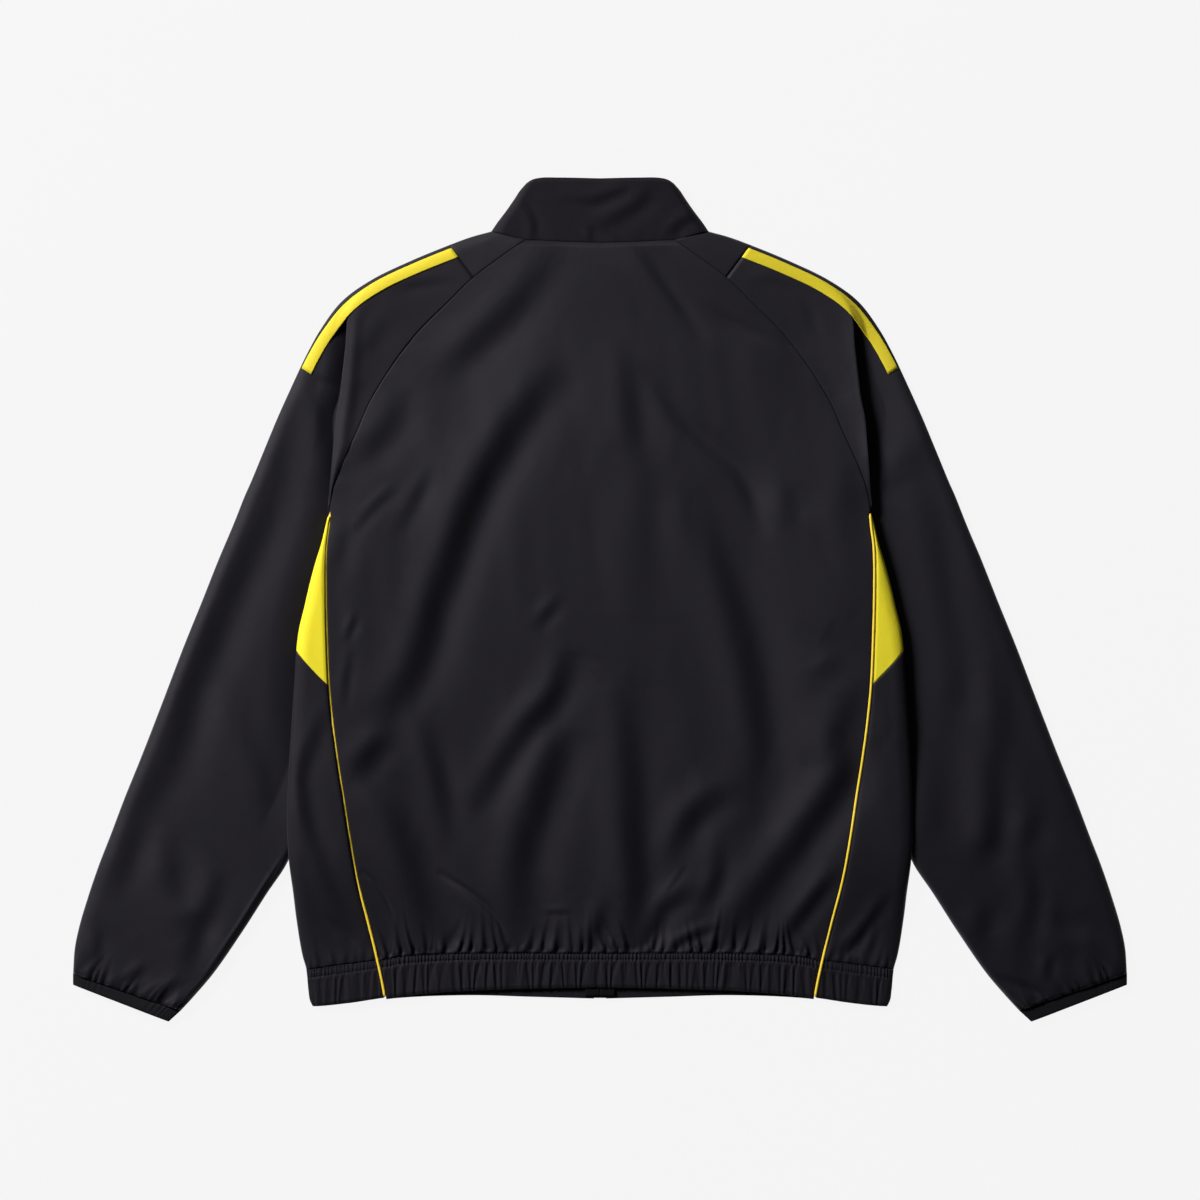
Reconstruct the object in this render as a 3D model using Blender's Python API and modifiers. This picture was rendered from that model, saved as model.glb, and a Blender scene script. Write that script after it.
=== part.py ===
"""Track windbreaker with raglan sleeves, laid face down with its back up.

Frame: +X to the right of the laid garment, +Y towards the collar, +Z up, the surface at z = 0.
Every cloth piece is a wall: a grid whose outer points come from the tables of sizes below, and
whose inner points lie one wall thickness further in. Tables are in millimetres.
"""
import math

import bmesh
import bpy
import numpy as np
from mathutils import Matrix

MM = 0.001

# Walls, seams and trims
CLOTH = 1.2  # cloth wall
GAP = 0.3  # clear distance between two sewn pieces
PIPING_R = 1.3
TAPE = 0.7  # wall of the shoulder tape and the zip tapes
ZIP_HALF = 5.2  # from the centre line to the edge of each front
ROLL = 12.0  # how far a folded edge takes to round over

# Levels of the outer faces above the surface
BACK_LEVEL = 7.6
BACK_SIDE_RISE = 4.6
HEM_LEVEL = 6.0
TUCK_LEVEL = 5.2  # underside of the body where it lies on the sleeves
SLEEVE_LEVEL = 8.6
SLEEVE_TUCKED = 4.0
COLLAR_LEVEL = 9.6
ZIP_RISE = 3.6  # how far the slider and its pull tab lift the closed front

# Elastic gathers
HEM_PITCH = 7.3
HEM_WAVE = 0.7
CUFF_WAVES = 24
CUFF_WAVE = 0.6

# Half widths of the laid garment: (y, half)
NECK_SEAM = ((0.0, 313.5), (35.0, 314.5), (54.0, 315.5), (65.5, 316.0), (81.0, 320.0), (95.5, 324.0))
FRONT_NECK = ((0.0, 298.0), (25.0, 300.0), (48.0, 306.5), (65.5, 316.0))
COLLAR_TOP = ((0.0, 370.0), (35.0, 370.7), (53.0, 370.4), (60.0, 368.7), (65.5, 365.5))
COLLAR_SIDE = (
    (365.5, 65.5), (360.5, 70.5), (355.0, 74.5), (344.5, 82.0), (334.0, 89.5), (324.0, 95.5),
)
SIDE_EDGE = (
    (78.0, 237.6), (74.5, 238.6), (48.0, 245.0), (32.0, 250.0), (11.0, 255.5), (-6.5, 259.5),
    (-25.0, 264.0), (-40.0, 266.0), (-71.0, 268.0), (-115.0, 271.0), (-159.0, 273.5), (-194.0, 274.5),
    (-229.0, 273.0), (-257.5, 269.5), (-279.5, 267.0), (-313.0, 261.5), (-323.5, 258.5),
    (-343.5, 256.3), (-352.0, 255.0), (-358.0, 252.0),
)
PIPING = (
    (78.0, 236.6), (64.5, 237.8), (47.0, 239.8), (4.0, 240.2), (-36.5, 239.2), (-74.5, 237.5),
    (-106.0, 234.5), (-144.0, 229.5), (-175.5, 224.5), (-208.0, 219.5), (-247.0, 212.5),
    (-283.0, 203.5), (-316.5, 195.5), (-345.5, 189.5), (-358.0, 188.0),
)
# Cross lines of the hem: (x, y)
HEM_TOP = ((0.0, -310.0), (137.5, -310.5), (178.0, -313.0), (195.5, -316.6), (232.5, -321.5), (262.0, -326.0))
HEM_LINE = ((0.0, -316.5), (137.5, -317.5), (178.0, -320.5), (194.5, -323.8), (232.5, -329.5), (262.0, -333.8))
BACK_HEM = (
    (0.0, -340.5), (77.5, -342.0), (127.5, -344.0), (167.0, -347.0), (189.0, -349.5), (218.0, -354.0),
    (248.0, -357.0), (262.0, -357.0),
)
FRONT_HEM = ((0.0, -350.5), (58.0, -349.0), (117.0, -347.6), (186.5, -350.2), (218.0, -354.0), (262.0, -357.0))

# Sleeve sections from the neck to the cuff. seam_x, seam_y: raglan seam, then the inner fold of
# the sleeve. edge_x, edge_y: the fold over the arm. pleat: where the shoulder pleat stands, as a
# share of the section. depth: how deep it falls there, in mm. tube: 1 where the sleeve is closed.
SLEEVE = (
    # seam_x, seam_y, edge_x, edge_y, pleat, depth, tube
    (65.5, 316.0, 95.3, 324.0, 0.50, 0.0, 0),
    (89.0, 299.5, 113.5, 319.0, 0.50, 0.0, 0),
    (111.0, 283.0, 132.5, 312.0, 0.50, 0.0, 0),
    (134.0, 260.5, 166.5, 298.0, 0.50, 0.0, 0),
    (157.0, 238.0, 201.5, 281.0, 0.55, 0.0, 0),
    (174.5, 216.5, 227.0, 262.5, 0.62, 0.6, 0),
    (189.5, 195.0, 245.5, 238.0, 0.62, 2.2, 0),
    (202.0, 174.0, 259.0, 213.5, 0.50, 3.6, 0),
    (206.0, 165.5, 264.0, 203.0, 0.45, 4.2, 0),
    (213.0, 148.5, 273.0, 183.5, 0.36, 5.0, 0),
    (223.0, 126.5, 284.0, 159.0, 0.20, 5.6, 0),
    (231.0, 107.0, 292.5, 138.5, 0.11, 4.6, 0),
    (235.4, 92.0, 299.5, 121.5, 0.06, 3.2, 0),
    (237.4, 78.0, 306.5, 104.5, 0.03, 1.5, 1),
    (240.8, 66.0, 312.5, 91.0, 0.03, 0.0, 1),
    (243.6, 55.0, 319.0, 74.5, 0.04, 0.0, 1),
    (245.2, 42.0, 324.5, 61.0, 0.05, 0.0, 1),
    (246.0, 20.0, 334.5, 37.5, 0.06, 0.0, 1),
    (246.0, -15.0, 350.0, -1.5, 0.06, 0.0, 1),
    (247.0, -60.0, 366.0, -41.0, 0.06, 0.0, 1),
    (249.5, -105.0, 384.5, -89.5, 0.06, 0.0, 1),
    (255.0, -155.0, 403.5, -138.5, 0.06, 0.0, 1),
    (264.0, -200.0, 418.5, -175.5, 0.06, 0.0, 1),
    (275.0, -231.0, 430.0, -206.0, 0.06, 0.0, 1),
    (292.5, -257.5, 440.5, -233.0, 0.06, 0.0, 1),
    (315.0, -292.5, 451.0, -264.0, 0.06, 0.0, 1),
    (340.0, -328.5, 458.5, -290.0, 0.06, 0.0, 1),
    (357.5, -349.0, 462.0, -308.5, 0.06, 0.0, 1),
    (368.2, -360.6, 463.2, -328.2, 0.06, 0.0, 1),
)
YOKE_ROW = 2  # the section where the neck-side yoke meets the sleeve
ARMPIT_ROW = 13
TAPE_ROWS = (2, 8)
CUFF_END = (379.0, -370.5, 463.2, -338.0)

# Largest folds of the back: a soft trough (depth < 0) or ridge along a bent line, in mm
FOLDS = (
    # x0, y0, x1, y1, x2, y2, width, depth
    (-45.0, 193.0, -105.0, 115.0, -140.0, 10.0, 15.0, -3.2),
    (-60.0, 200.0, -118.0, 128.0, -152.0, 30.0, 15.0, 2.4),
    (-140.0, 8.0, -160.0, -60.0, -185.0, -95.0, 14.0, -2.2),
    (-46.0, 297.0, -100.0, 230.0, -136.0, 200.0, 16.0, -1.6),
    (-208.0, -155.0, -160.0, -225.0, -142.0, -292.0, 15.0, -3.0),
    (-155.0, -110.0, -140.0, -155.0, -132.0, -208.0, 16.0, -1.8),
    (-35.0, -112.0, -64.0, -200.0, -67.0, -285.0, 16.0, -2.4),
    (-28.0, -55.0, -70.0, -115.0, -108.0, -178.0, 14.0, 2.0),
    (25.0, -85.0, 30.0, -190.0, 28.0, -295.0, 16.0, -2.2),
    (83.0, 78.0, 128.0, -15.0, 138.0, -185.0, 17.0, -2.6),
    (215.0, -90.0, 200.0, -190.0, 118.0, -295.0, 15.0, -3.2),
    (235.0, -110.0, 215.0, -205.0, 150.0, -280.0, 14.0, 2.2),
    (48.0, 190.0, 105.0, 145.0, 145.0, 70.0, 16.0, -1.8),
    (38.0, 305.0, 75.0, 262.0, 92.0, 235.0, 14.0, -1.6),
    (80.0, -255.0, 55.0, -275.0, 38.0, -303.0, 11.0, -2.4),
)
# Largest folds of the sleeves, likewise
SLEEVE_FOLDS = (
    (-272.0, 165.0, -320.0, 10.0, -408.0, -205.0, 17.0, -2.4),
    (-250.0, 30.0, -270.0, -90.0, -300.0, -200.0, 16.0, 1.8),
    (-321.0, -90.0, -300.0, -140.0, -288.0, -180.0, 14.0, -1.6),
    (272.0, 125.0, 300.0, 10.0, 295.0, -190.0, 17.0, -2.4),
    (345.0, -150.0, 345.0, -200.0, 330.0, -235.0, 15.0, -2.0),
    (335.0, -270.0, 337.0, -300.0, 345.0, -318.0, 13.0, -1.8),
    (404.0, -262.0, 412.0, -290.0, 432.0, -320.0, 12.0, -1.6),
    (-448.0, -270.0, -430.0, -300.0, -420.0, -318.0, 12.0, -1.6),
)

BLACK = (0.016, 0.016, 0.020, 1.0)
TRIM_BLACK = (0.008, 0.008, 0.010, 1.0)
YELLOW = (0.87, 0.72, 0.03, 1.0)
METAL = (0.05, 0.05, 0.055, 1.0)


# ---------------------------------------------------------------- sizes


def smooth(low, high, value):
    """0 below low, 1 above high, an S curve between."""
    t = min(1.0, max(0.0, (value - low) / (high - low)))
    return t * t * (3.0 - 2.0 * t)


def along(table, key):
    """The table's second column at this value of its first, through a smooth curve."""
    rows = sorted(table)
    keys = [row[0] for row in rows]
    key = min(max(key, keys[0]), keys[-1])
    i = min(max(int(np.searchsorted(keys, key)) - 1, 0), len(rows) - 2)
    slopes = [(b[1] - a[1]) / (b[0] - a[0]) for a, b in zip(rows, rows[1:])]

    def tangent(k):
        if k in (0, len(rows) - 1):
            return slopes[min(k, len(slopes) - 1)]
        return 0.5 * (slopes[k - 1] + slopes[k])

    (x0, y0), (x1, y1) = rows[i], rows[i + 1]
    span = x1 - x0
    t = (key - x0) / span
    t2, t3 = t * t, t * t * t
    return (
        (2 * t3 - 3 * t2 + 1) * y0 + (t3 - 2 * t2 + t) * span * tangent(i)
        + (3 * t2 - 2 * t3) * y1 + (t3 - t2) * span * tangent(i + 1)
    )


def fold_height(folds, x, y):
    """The sum of the soft folds at a point."""
    total = 0.0
    for x0, y0, x1, y1, x2, y2, width, depth in folds:
        best, where = 1e9, 0.0
        for ax, ay, bx, by, start in ((x0, y0, x1, y1, 0.0), (x1, y1, x2, y2, 0.5)):
            dx, dy = bx - ax, by - ay
            t = min(1.0, max(0.0, ((x - ax) * dx + (y - ay) * dy) / (dx * dx + dy * dy)))
            away = math.hypot(x - ax - t * dx, y - ay - t * dy)
            if away < best:
                best, where = away, start + 0.5 * t
        if best < 3 * width:
            total += depth * math.exp(-((best / width) ** 2)) * math.sin(math.pi * (0.08 + 0.84 * where))
    return total


def body_edge(y):
    """Half width of the back and of each front: the raglan seam, then the gusset and the piping."""
    raglan = [(row[1], row[0]) for row in SLEEVE[: ARMPIT_ROW + 1]]
    return along(raglan, y) if y > SLEEVE[ARMPIT_ROW][1] else along(PIPING, y)


def tuck(x, y):
    """How far the body lies over the sleeve here, 0 to 1."""
    return smooth(208.0, 236.0, abs(x)) * smooth(150.0, 88.0, y) * smooth(-275.0, -215.0, y)


def zip_rise(x, y):
    """The lift of the closed front over the slider."""
    return ZIP_RISE * smooth(278.0, 325.0, y) * smooth(48.0, 9.0, abs(x))


def front_low(x, y):
    """Underside of the front layer."""
    return TUCK_LEVEL * tuck(x, y) + zip_rise(x, y)


def body_top(x, y):
    """Outer face of the back layer."""
    near_armpit = math.exp(-(((abs(x) - 237.0) / 26.0) ** 2 + ((y - 78.0) / 30.0) ** 2))
    side = smooth(120.0, 225.0, abs(x)) * smooth(190.0, 60.0, y) * smooth(-310.0, -215.0, y)
    base = BACK_LEVEL + BACK_SIDE_RISE * side
    base += (COLLAR_LEVEL - BACK_LEVEL) * smooth(235.0, 305.0, y)
    base += (HEM_LEVEL - BACK_LEVEL) * smooth(-240.0, -308.0, y)
    calm = smooth(-312.0, -285.0, y) * smooth(316.0, 285.0, y)
    return base + fold_height(FOLDS, x, y) * calm - 3.2 * near_armpit


# ---------------------------------------------------------------- walls


def grid_normals(points, wrap):
    """Unit normals of a grid of points. wrap tells, row by row, whether its two ends meet."""
    rows, cols, _ = points.shape
    down = np.gradient(points, axis=0)
    across = np.gradient(points, axis=1)
    for r in range(rows):
        if wrap[r]:
            across[r, 0] = across[r, -1] = (points[r, 1] - points[r, -2]) / 2
    out = np.cross(down, across)
    out /= np.maximum(np.linalg.norm(out, axis=2, keepdims=True), 1e-12)
    for r in range(rows):
        if wrap[r]:
            both = out[r, 0] + out[r, -1]
            out[r, 0] = out[r, -1] = both / np.linalg.norm(both)

    def flatten(r, c, tangent):
        """At an open edge the wall stands square to the seam in plan."""
        side = np.array((tangent[1], -tangent[0], 0.0))
        length = np.linalg.norm(side)
        if length > 1e-9:
            side /= length
            n = out[r, c] - side * np.dot(out[r, c], side)
            size = np.linalg.norm(n)
            if size > 0.2:
                out[r, c] = n / size

    for c in range(cols):
        flatten(0, c, across[0, c])
        flatten(rows - 1, c, across[-1, c])
    for r in range(rows):
        if not wrap[r]:
            flatten(r, 0, down[r, 0])
            flatten(r, cols - 1, down[r, -1])
    return out


def cloth(name, outer, inner, colour, roughness, wrap=None):
    """A closed wall between two grids of points, given in mm."""
    rows, cols, _ = outer.shape
    wrap = wrap or [False] * rows
    mesh = bpy.data.meshes.new(name)
    bm = bmesh.new()
    row_of = bm.verts.layers.int.new("row")
    col_of = bm.verts.layers.int.new("col")
    bmesh.ops.create_grid(bm, x_segments=cols - 1, y_segments=rows - 1, size=0.5)
    for v in bm.verts:
        v[col_of] = round((v.co.x + 0.5) * (cols - 1))
        v[row_of] = round((v.co.y + 0.5) * (rows - 1))
    for v in bm.verts:
        v.co = outer[v[row_of], v[col_of]] * MM
    if any(wrap):
        ends = [v for v in bm.verts if v[col_of] in (0, cols - 1) and wrap[v[row_of]]]
        bmesh.ops.remove_doubles(bm, verts=ends, dist=1e-6)
    made = bmesh.ops.extrude_face_region(bm, geom=bm.faces[:])["geom"]
    for v in made:
        if isinstance(v, bmesh.types.BMVert):
            v.co = inner[v[row_of], v[col_of]] * MM
    bmesh.ops.recalc_face_normals(bm, faces=bm.faces[:])
    bm.to_mesh(mesh)
    bm.free()
    obj = bpy.data.objects.new(name, mesh)
    finish(obj, colour, roughness)
    return obj


def wall(name, outer, colour=BLACK, roughness=0.62, thickness=CLOTH, wrap=None, flip=False):
    """A cloth wall under its outer points."""
    outer = np.array(outer, dtype=float)
    rows = outer.shape[0]
    normals = grid_normals(outer, wrap or [False] * rows) * (-1.0 if flip else 1.0)
    return cloth(name, outer, outer - normals * thickness, colour, roughness, wrap)


def finish(obj, colour, roughness, metallic=0.0):
    """Gives an object its material and puts it in the garment's collection."""
    mat = bpy.data.materials.new(obj.name)
    mat.use_nodes = True
    shader = mat.node_tree.nodes["Principled BSDF"]
    shader.inputs["Base Color"].default_value = colour
    shader.inputs["Roughness"].default_value = roughness
    shader.inputs["Metallic"].default_value = metallic
    mat.diffuse_color = colour
    obj.data.materials.clear()
    obj.data.materials.append(mat)
    bpy.data.collections["windbreaker"].objects.link(obj)
    if obj.type == "MESH":
        obj.data.shade_smooth()
        obj.data.set_sharp_from_angle(angle=math.radians(50))


def mirrored(points, side):
    """Points of the left-hand piece taken to the given side, -1 or 1, in the same order."""
    out = np.array(points, dtype=float)
    out[..., 0] *= side
    return out


# ---------------------------------------------------------------- body


def rows_between(top, bottom, step):
    count = max(2, round((top - bottom) / step) + 1)
    return [top + (bottom - top) * i / (count - 1) for i in range(count)]


BODY_ROWS = [row[1] for row in SLEEVE[:ARMPIT_ROW]] + rows_between(78.0, -316.6, 23.0)


def seam_inset(y):
    """Distance from the seam line to the edge of the back or front panel."""
    return GAP / 2 if y > -55.0 else PIPING_R + GAP


def chorded(table, x, reach, cells):
    """The table at x, through straight chords between evenly spaced places out to reach."""
    step = reach / cells
    k = min(int(x / step), cells - 1)
    t = x / step - k
    return (1 - t) * along(table, k * step) + t * along(table, (k + 1) * step)


BACK_CELLS, FRONT_CELLS, NECK_CELLS = 11, 6, 3


def front_neck(x):
    """Seam between a front and the collar, or on past the fronts, the sleeve and the collar."""
    if x >= 65.35:
        return along(NECK_SEAM, x)
    share = max(0.0, (x - ZIP_HALF) / (65.35 - ZIP_HALF))
    return chorded(FRONT_NECK, 65.5 * share, 65.5, NECK_CELLS)


def add_back():
    shares = np.linspace(-1.0, 1.0, 2 * BACK_CELLS + 1)
    rows = []
    for y in BODY_ROWS:
        edge = body_edge(y) - seam_inset(y)
        line = []
        for s in shares:
            x = s * edge
            top = (along(NECK_SEAM, abs(s) * 65.5) - 316.0 - GAP / 2) * smooth(250.0, 316.0, y)
            low = (chorded(HEM_TOP, abs(s) * 195.5, 195.5, BACK_CELLS) + 316.6 + GAP / 2)
            low *= smooth(-220.0, -316.6, y)
            line.append((x, y + top + low, 0.0))
        rows.append([(px, py, body_top(px, py)) for px, py, _ in line])
    wall("back", rows)


def add_front(side, label):
    shares = np.linspace(0.0, 1.0, FRONT_CELLS + 1)
    rows = []
    for y in BODY_ROWS:
        edge = body_edge(y) - seam_inset(y)
        line = []
        for s in shares:
            x = ZIP_HALF + s * (edge - ZIP_HALF)
            neck = chorded(FRONT_NECK, 65.5 * s, 65.5, NECK_CELLS)
            top = (neck - 316.0 - GAP / 2) * smooth(215.0, 316.0, y)
            low = (chorded(HEM_TOP, s * 195.5, 195.5, FRONT_CELLS) + 316.6 + GAP / 2)
            low *= smooth(-220.0, -316.6, y)
            py = y + top + low
            line.append((x, py, front_low(x, py)))
        rows.append(line)
    wall(f"front_{label}", mirrored(rows, side), flip=side > 0)


ROUND_COLUMNS = (0.0, 0.25, 0.5, 0.72, 0.87, 0.96, 1.0)


def cap(distance, reach):
    """Height share of a rounded edge at a distance from it."""
    t = 1.0 - min(1.0, max(0.0, distance / reach))
    return math.sqrt(max(0.0, 1.0 - t * t))


def side_section(seam_share, x_seam, x_edge, y, upper, level_y=None):
    """One point of the side, which rolls from the back layer (upper) to the front layer."""
    x = x_seam + seam_share * (x_edge - x_seam)
    reach = min(ROLL, 0.8 * (x_edge - x_seam))
    low = front_low(x_edge - 1.0, y)
    high = body_top(min(x, x_edge - 0.5 * reach), y)
    mid = low + 0.42 * (high - low)
    if upper:
        return (x, y, mid + (high - mid) * cap(x_edge - x, reach))
    low = front_low(x, y)
    return (x, y, mid + (low - mid) * cap(x_edge - x, 0.7 * reach))


def side_loop(x_seam_at, x_edge_at, y_at):
    """The points from the back seam round the fold to the front seam."""
    line = []
    for upper, shares in ((True, ROUND_COLUMNS), (False, ROUND_COLUMNS[-2::-1])):
        for s in shares:
            y = y_at(s)
            line.append(side_section(s, x_seam_at(y), x_edge_at(y), y, upper))
    return line


def hem_side_x(share):
    """Where the side meets the hem, from the piping out to the side fold."""
    return 197.1 + 61.0 * share


def gusset_foot(share):
    """The slanting seam under the gusset, from the piping out to the side fold."""
    return -74.5 + 30.0 * share


def add_sides(side, label):
    rows = []
    for r in np.linspace(0.0, 1.0, 8):
        def y_at(s, r=r):
            return 73.0 + r * (gusset_foot(s) + GAP - 73.0)
        rows.append(side_loop(
            lambda y: min(along(PIPING, y) + GAP / 2, along(SIDE_EDGE, y) - 1.8),
            lambda y: along(SIDE_EDGE, y), y_at,
        ))
    wall(f"gusset_{label}", mirrored(rows, side), YELLOW, 0.6, flip=side < 0)
    rows = []
    for r in np.linspace(0.0, 1.0, 12):
        def y_at(s, r=r):
            top, low = gusset_foot(s) - GAP, along(HEM_TOP, hem_side_x(s)) + GAP / 2
            return top + r * (low - top)
        rows.append(side_loop(
            lambda y: along(PIPING, y) + PIPING_R + GAP,
            lambda y: along(SIDE_EDGE, y), y_at,
        ))
    wall(f"side_{label}", mirrored(rows, side), flip=side < 0)


# ---------------------------------------------------------------- sleeves

TOP_A = (0.0, 0.35, 0.7, 1.0)  # seam to pleat
TOP_B = (0.10, 0.28, 0.50, 0.72)  # pleat to the tape, as shares of what is left
TAPE_AT = (11.5, 6.5, 2.2)  # the tape's lines, mm from the fold over the arm
BOTTOM = (0.05, 0.2, 0.5, 0.8, 0.96)


def sleeve_positions(width, pleat):
    """Distances from the seam of each column: the upper layer's, then the lower layer's."""
    upper = [pleat * width * a for a in TOP_A]
    rest = width - TAPE_AT[0] - upper[-1]
    upper += [upper[-1] + rest * b for b in TOP_B]
    upper += [width - t for t in TAPE_AT] + [width]
    return upper, [width * (1.0 - b) for b in BOTTOM] + [0.0]


def sleeve_height(row, x, y, distance, width, upper):
    """Height of the sleeve's outer face, distance mm from its seam side."""
    seam_x, seam_y, _, _, pleat, depth, tube = row
    outer_cap = cap(width - distance, ROLL)
    if not upper:
        low = TUCK_LEVEL * tuck(seam_x, seam_y) * (0 if tube else 1) * smooth(26.0, 0.0, distance)
        low += (1 - tube) * zip_rise(x, y) * smooth(20.0, 0.0, distance)
        z = 3.0 + (low - 3.0) * cap(width - distance, 0.7 * ROLL)
        if tube:
            z = tube_mid(row) + (z - tube_mid(row)) * cap(distance, 7.0)
        return z
    own = SLEEVE_LEVEL + fold_height(SLEEVE_FOLDS, x, y)
    if tube:
        beyond = abs(x) - along(SIDE_EDGE, y) if y > -240.0 else 40.0
        beyond = max(beyond, 40.0 * smooth(-190.0, -250.0, y))
        own = SLEEVE_TUCKED + (own - SLEEVE_TUCKED) * smooth(1.0, 26.0, beyond)
        z = tube_mid(row) + (own - tube_mid(row)) * cap(distance, 6.0)
    else:
        seam_level = body_top(seam_x if x > 0 else -seam_x, seam_y)
        fold_at = pleat * width
        z = seam_level + (own - seam_level) * smooth(0.0, max(28.0, fold_at), distance)
        past = distance - fold_at
        if past > 1.0:
            z -= depth * smooth(0.0, 6.0, past) * smooth(34.0, 8.0, past)
        else:
            z += 0.35 * depth * smooth(0.0, fold_at + 0.1, distance)
    return 3.0 + (z - 3.0) * outer_cap


def tube_mid(row):
    """Height of the sleeve's inner fold: it dives under the body below the armpit."""
    return 2.2 + 4.6 * smooth(52.0, 78.0, row[1])


def sleeve_rows(side, first, last):
    """Outer points of the sleeve's sections, from the upper seam round to the lower one."""
    rows = []
    for k in range(first, last + 1):
        row = SLEEVE[k]
        seam_x, seam_y, edge_x, edge_y, pleat, _, tube = row
        width = math.hypot(edge_x - seam_x, edge_y - seam_y)
        ux, uy = (edge_x - seam_x) / width, (edge_y - seam_y) / width
        inset = 0.0 if tube else GAP / 2
        upper, lower = sleeve_positions(width - inset, pleat)
        line = []
        for layer, distances in ((True, upper), (False, lower)):
            for d in distances:
                x, y = seam_x + ux * (d + inset), seam_y + uy * (d + inset)
                z = sleeve_height(row, side * x, y, d, width - inset, layer)
                line.append((side * x, y, z))
        rows.append(line)
    return np.array(rows)


def shift_row(rows, index, towards, amount):
    """Moves one end section along the sleeve to leave its seam gap."""
    step = rows[towards] - rows[index]
    step[:, 2] = 0.0
    length = np.maximum(np.linalg.norm(step, axis=1, keepdims=True), 1e-6)
    rows[index] += step / length * amount


def add_sleeve(side, label):
    flip = side < 0
    yoke = sleeve_rows(side, 0, YOKE_ROW)
    shift_row(yoke, 0, 1, 2 * GAP)
    shift_row(yoke, -1, -2, GAP / 2)
    wall(f"yoke_{label}", yoke, flip=flip)
    rows = sleeve_rows(side, YOKE_ROW, len(SLEEVE) - 1)
    shift_row(rows, 0, 1, GAP / 2)
    shift_row(rows, -1, -2, GAP / 2)
    wrap = [bool(SLEEVE[k][6]) for k in range(YOKE_ROW, len(SLEEVE))]
    wall(f"sleeve_{label}", rows, wrap=wrap, flip=flip)
    start, end = TAPE_ROWS[0] - YOKE_ROW, TAPE_ROWS[1] - YOKE_ROW
    first = len(TOP_A) + len(TOP_B)
    normals = grid_normals(rows, wrap) * (-1.0 if flip else 1.0)
    piece = rows[start : end + 1, first : first + len(TAPE_AT)]
    lift = normals[start : end + 1, first : first + len(TAPE_AT)]
    cloth(f"stripe_{label}", piece + lift * (GAP + TAPE), piece + lift * GAP, YELLOW, 0.5)


def add_cuff(side, label):
    seam_x, seam_y, edge_x, edge_y = SLEEVE[-1][:4]
    count = 2 * CUFF_WAVES
    outer, inner = [], []
    for share in (0.012, 1.0):
        ax, ay = seam_x + (CUFF_END[0] - seam_x) * share, seam_y + (CUFF_END[1] - seam_y) * share
        bx, by = edge_x + (CUFF_END[2] - edge_x) * share, edge_y + (CUFF_END[3] - edge_y) * share
        ux, uy, half = (bx - ax) / 2, (by - ay) / 2, math.hypot(bx - ax, by - ay) / 2
        ring, plain = [], []
        for i in range(count + 1):
            angle = 2 * math.pi * (i % count) / count
            c, s = math.cos(angle), math.sin(angle)
            p = math.copysign(abs(c) ** 0.5, c)
            q = math.copysign(abs(s) ** 0.6, s)
            wave = CUFF_WAVE * (1 if i % 2 else -1) * (0.35 if share < 0.1 else 1.0) * abs(s)
            for line, grow in ((ring, wave), (plain, -CLOTH)):
                k = -p * (1 + grow / half)
                z = 3.3 + q * (2.6 + grow)
                line.append((side * (ax + ux * (1 + k)), ay + uy * (1 + k), z))
        outer.append(ring)
        inner.append(plain)
    cloth(f"cuff_{label}", np.array(outer), np.array(inner), TRIM_BLACK, 0.7, wrap=[True] * 2)


# ---------------------------------------------------------------- hem

HEM_ROWS = ((0.0, 0.35), (1.0, 0.15), (2.0, 1.0), (3.0, 0.6))  # line of the hem, share of the wave


def hem_y(line, x, foot, cells=0):
    """Cross lines of the hem: header top, header foot, middle and edge of the band."""
    top = chorded(HEM_TOP, x, 195.5, cells) if cells else along(HEM_TOP, x)
    mid, low = along(HEM_LINE, x), along(foot, x)
    return (top - GAP / 2, mid, 0.5 * (mid + low), low)[int(line)]


def add_hem_flat(name, side, upper, foot, start, waves):
    """A gathered stretch of the hem: the back's whole width, or one front's."""
    count = 2 * waves
    outer, inner = [], []
    cells = BACK_CELLS if upper else FRONT_CELLS
    for line, share in HEM_ROWS if upper else HEM_ROWS[:2] + HEM_ROWS[3:]:
        ridge, plain = [], []
        for i in range(count + 1):
            s = i / count
            y = hem_y(line, 195.5 * (abs(2 * s - 1) if upper else s), foot, cells)
            edge = along(PIPING, y) - PIPING_R - GAP
            x = -edge + 2 * edge * s if upper else start + (edge - start) * s
            wave = HEM_WAVE * share * (1 if i % 2 else -1)
            if upper:
                z = HEM_LEVEL - 0.3 + wave
                ridge.append((x, y, z))
                plain.append((x, y, HEM_LEVEL - 0.3 - HEM_WAVE - 1.0))
            else:
                z = HEM_WAVE - wave
                ridge.append((side * x, y, z))
                plain.append((side * x, y, 2 * HEM_WAVE + 1.0))
        outer.append(ridge)
        inner.append(plain)
    cloth(name, np.array(outer), np.array(inner), BLACK, 0.66)


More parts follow.
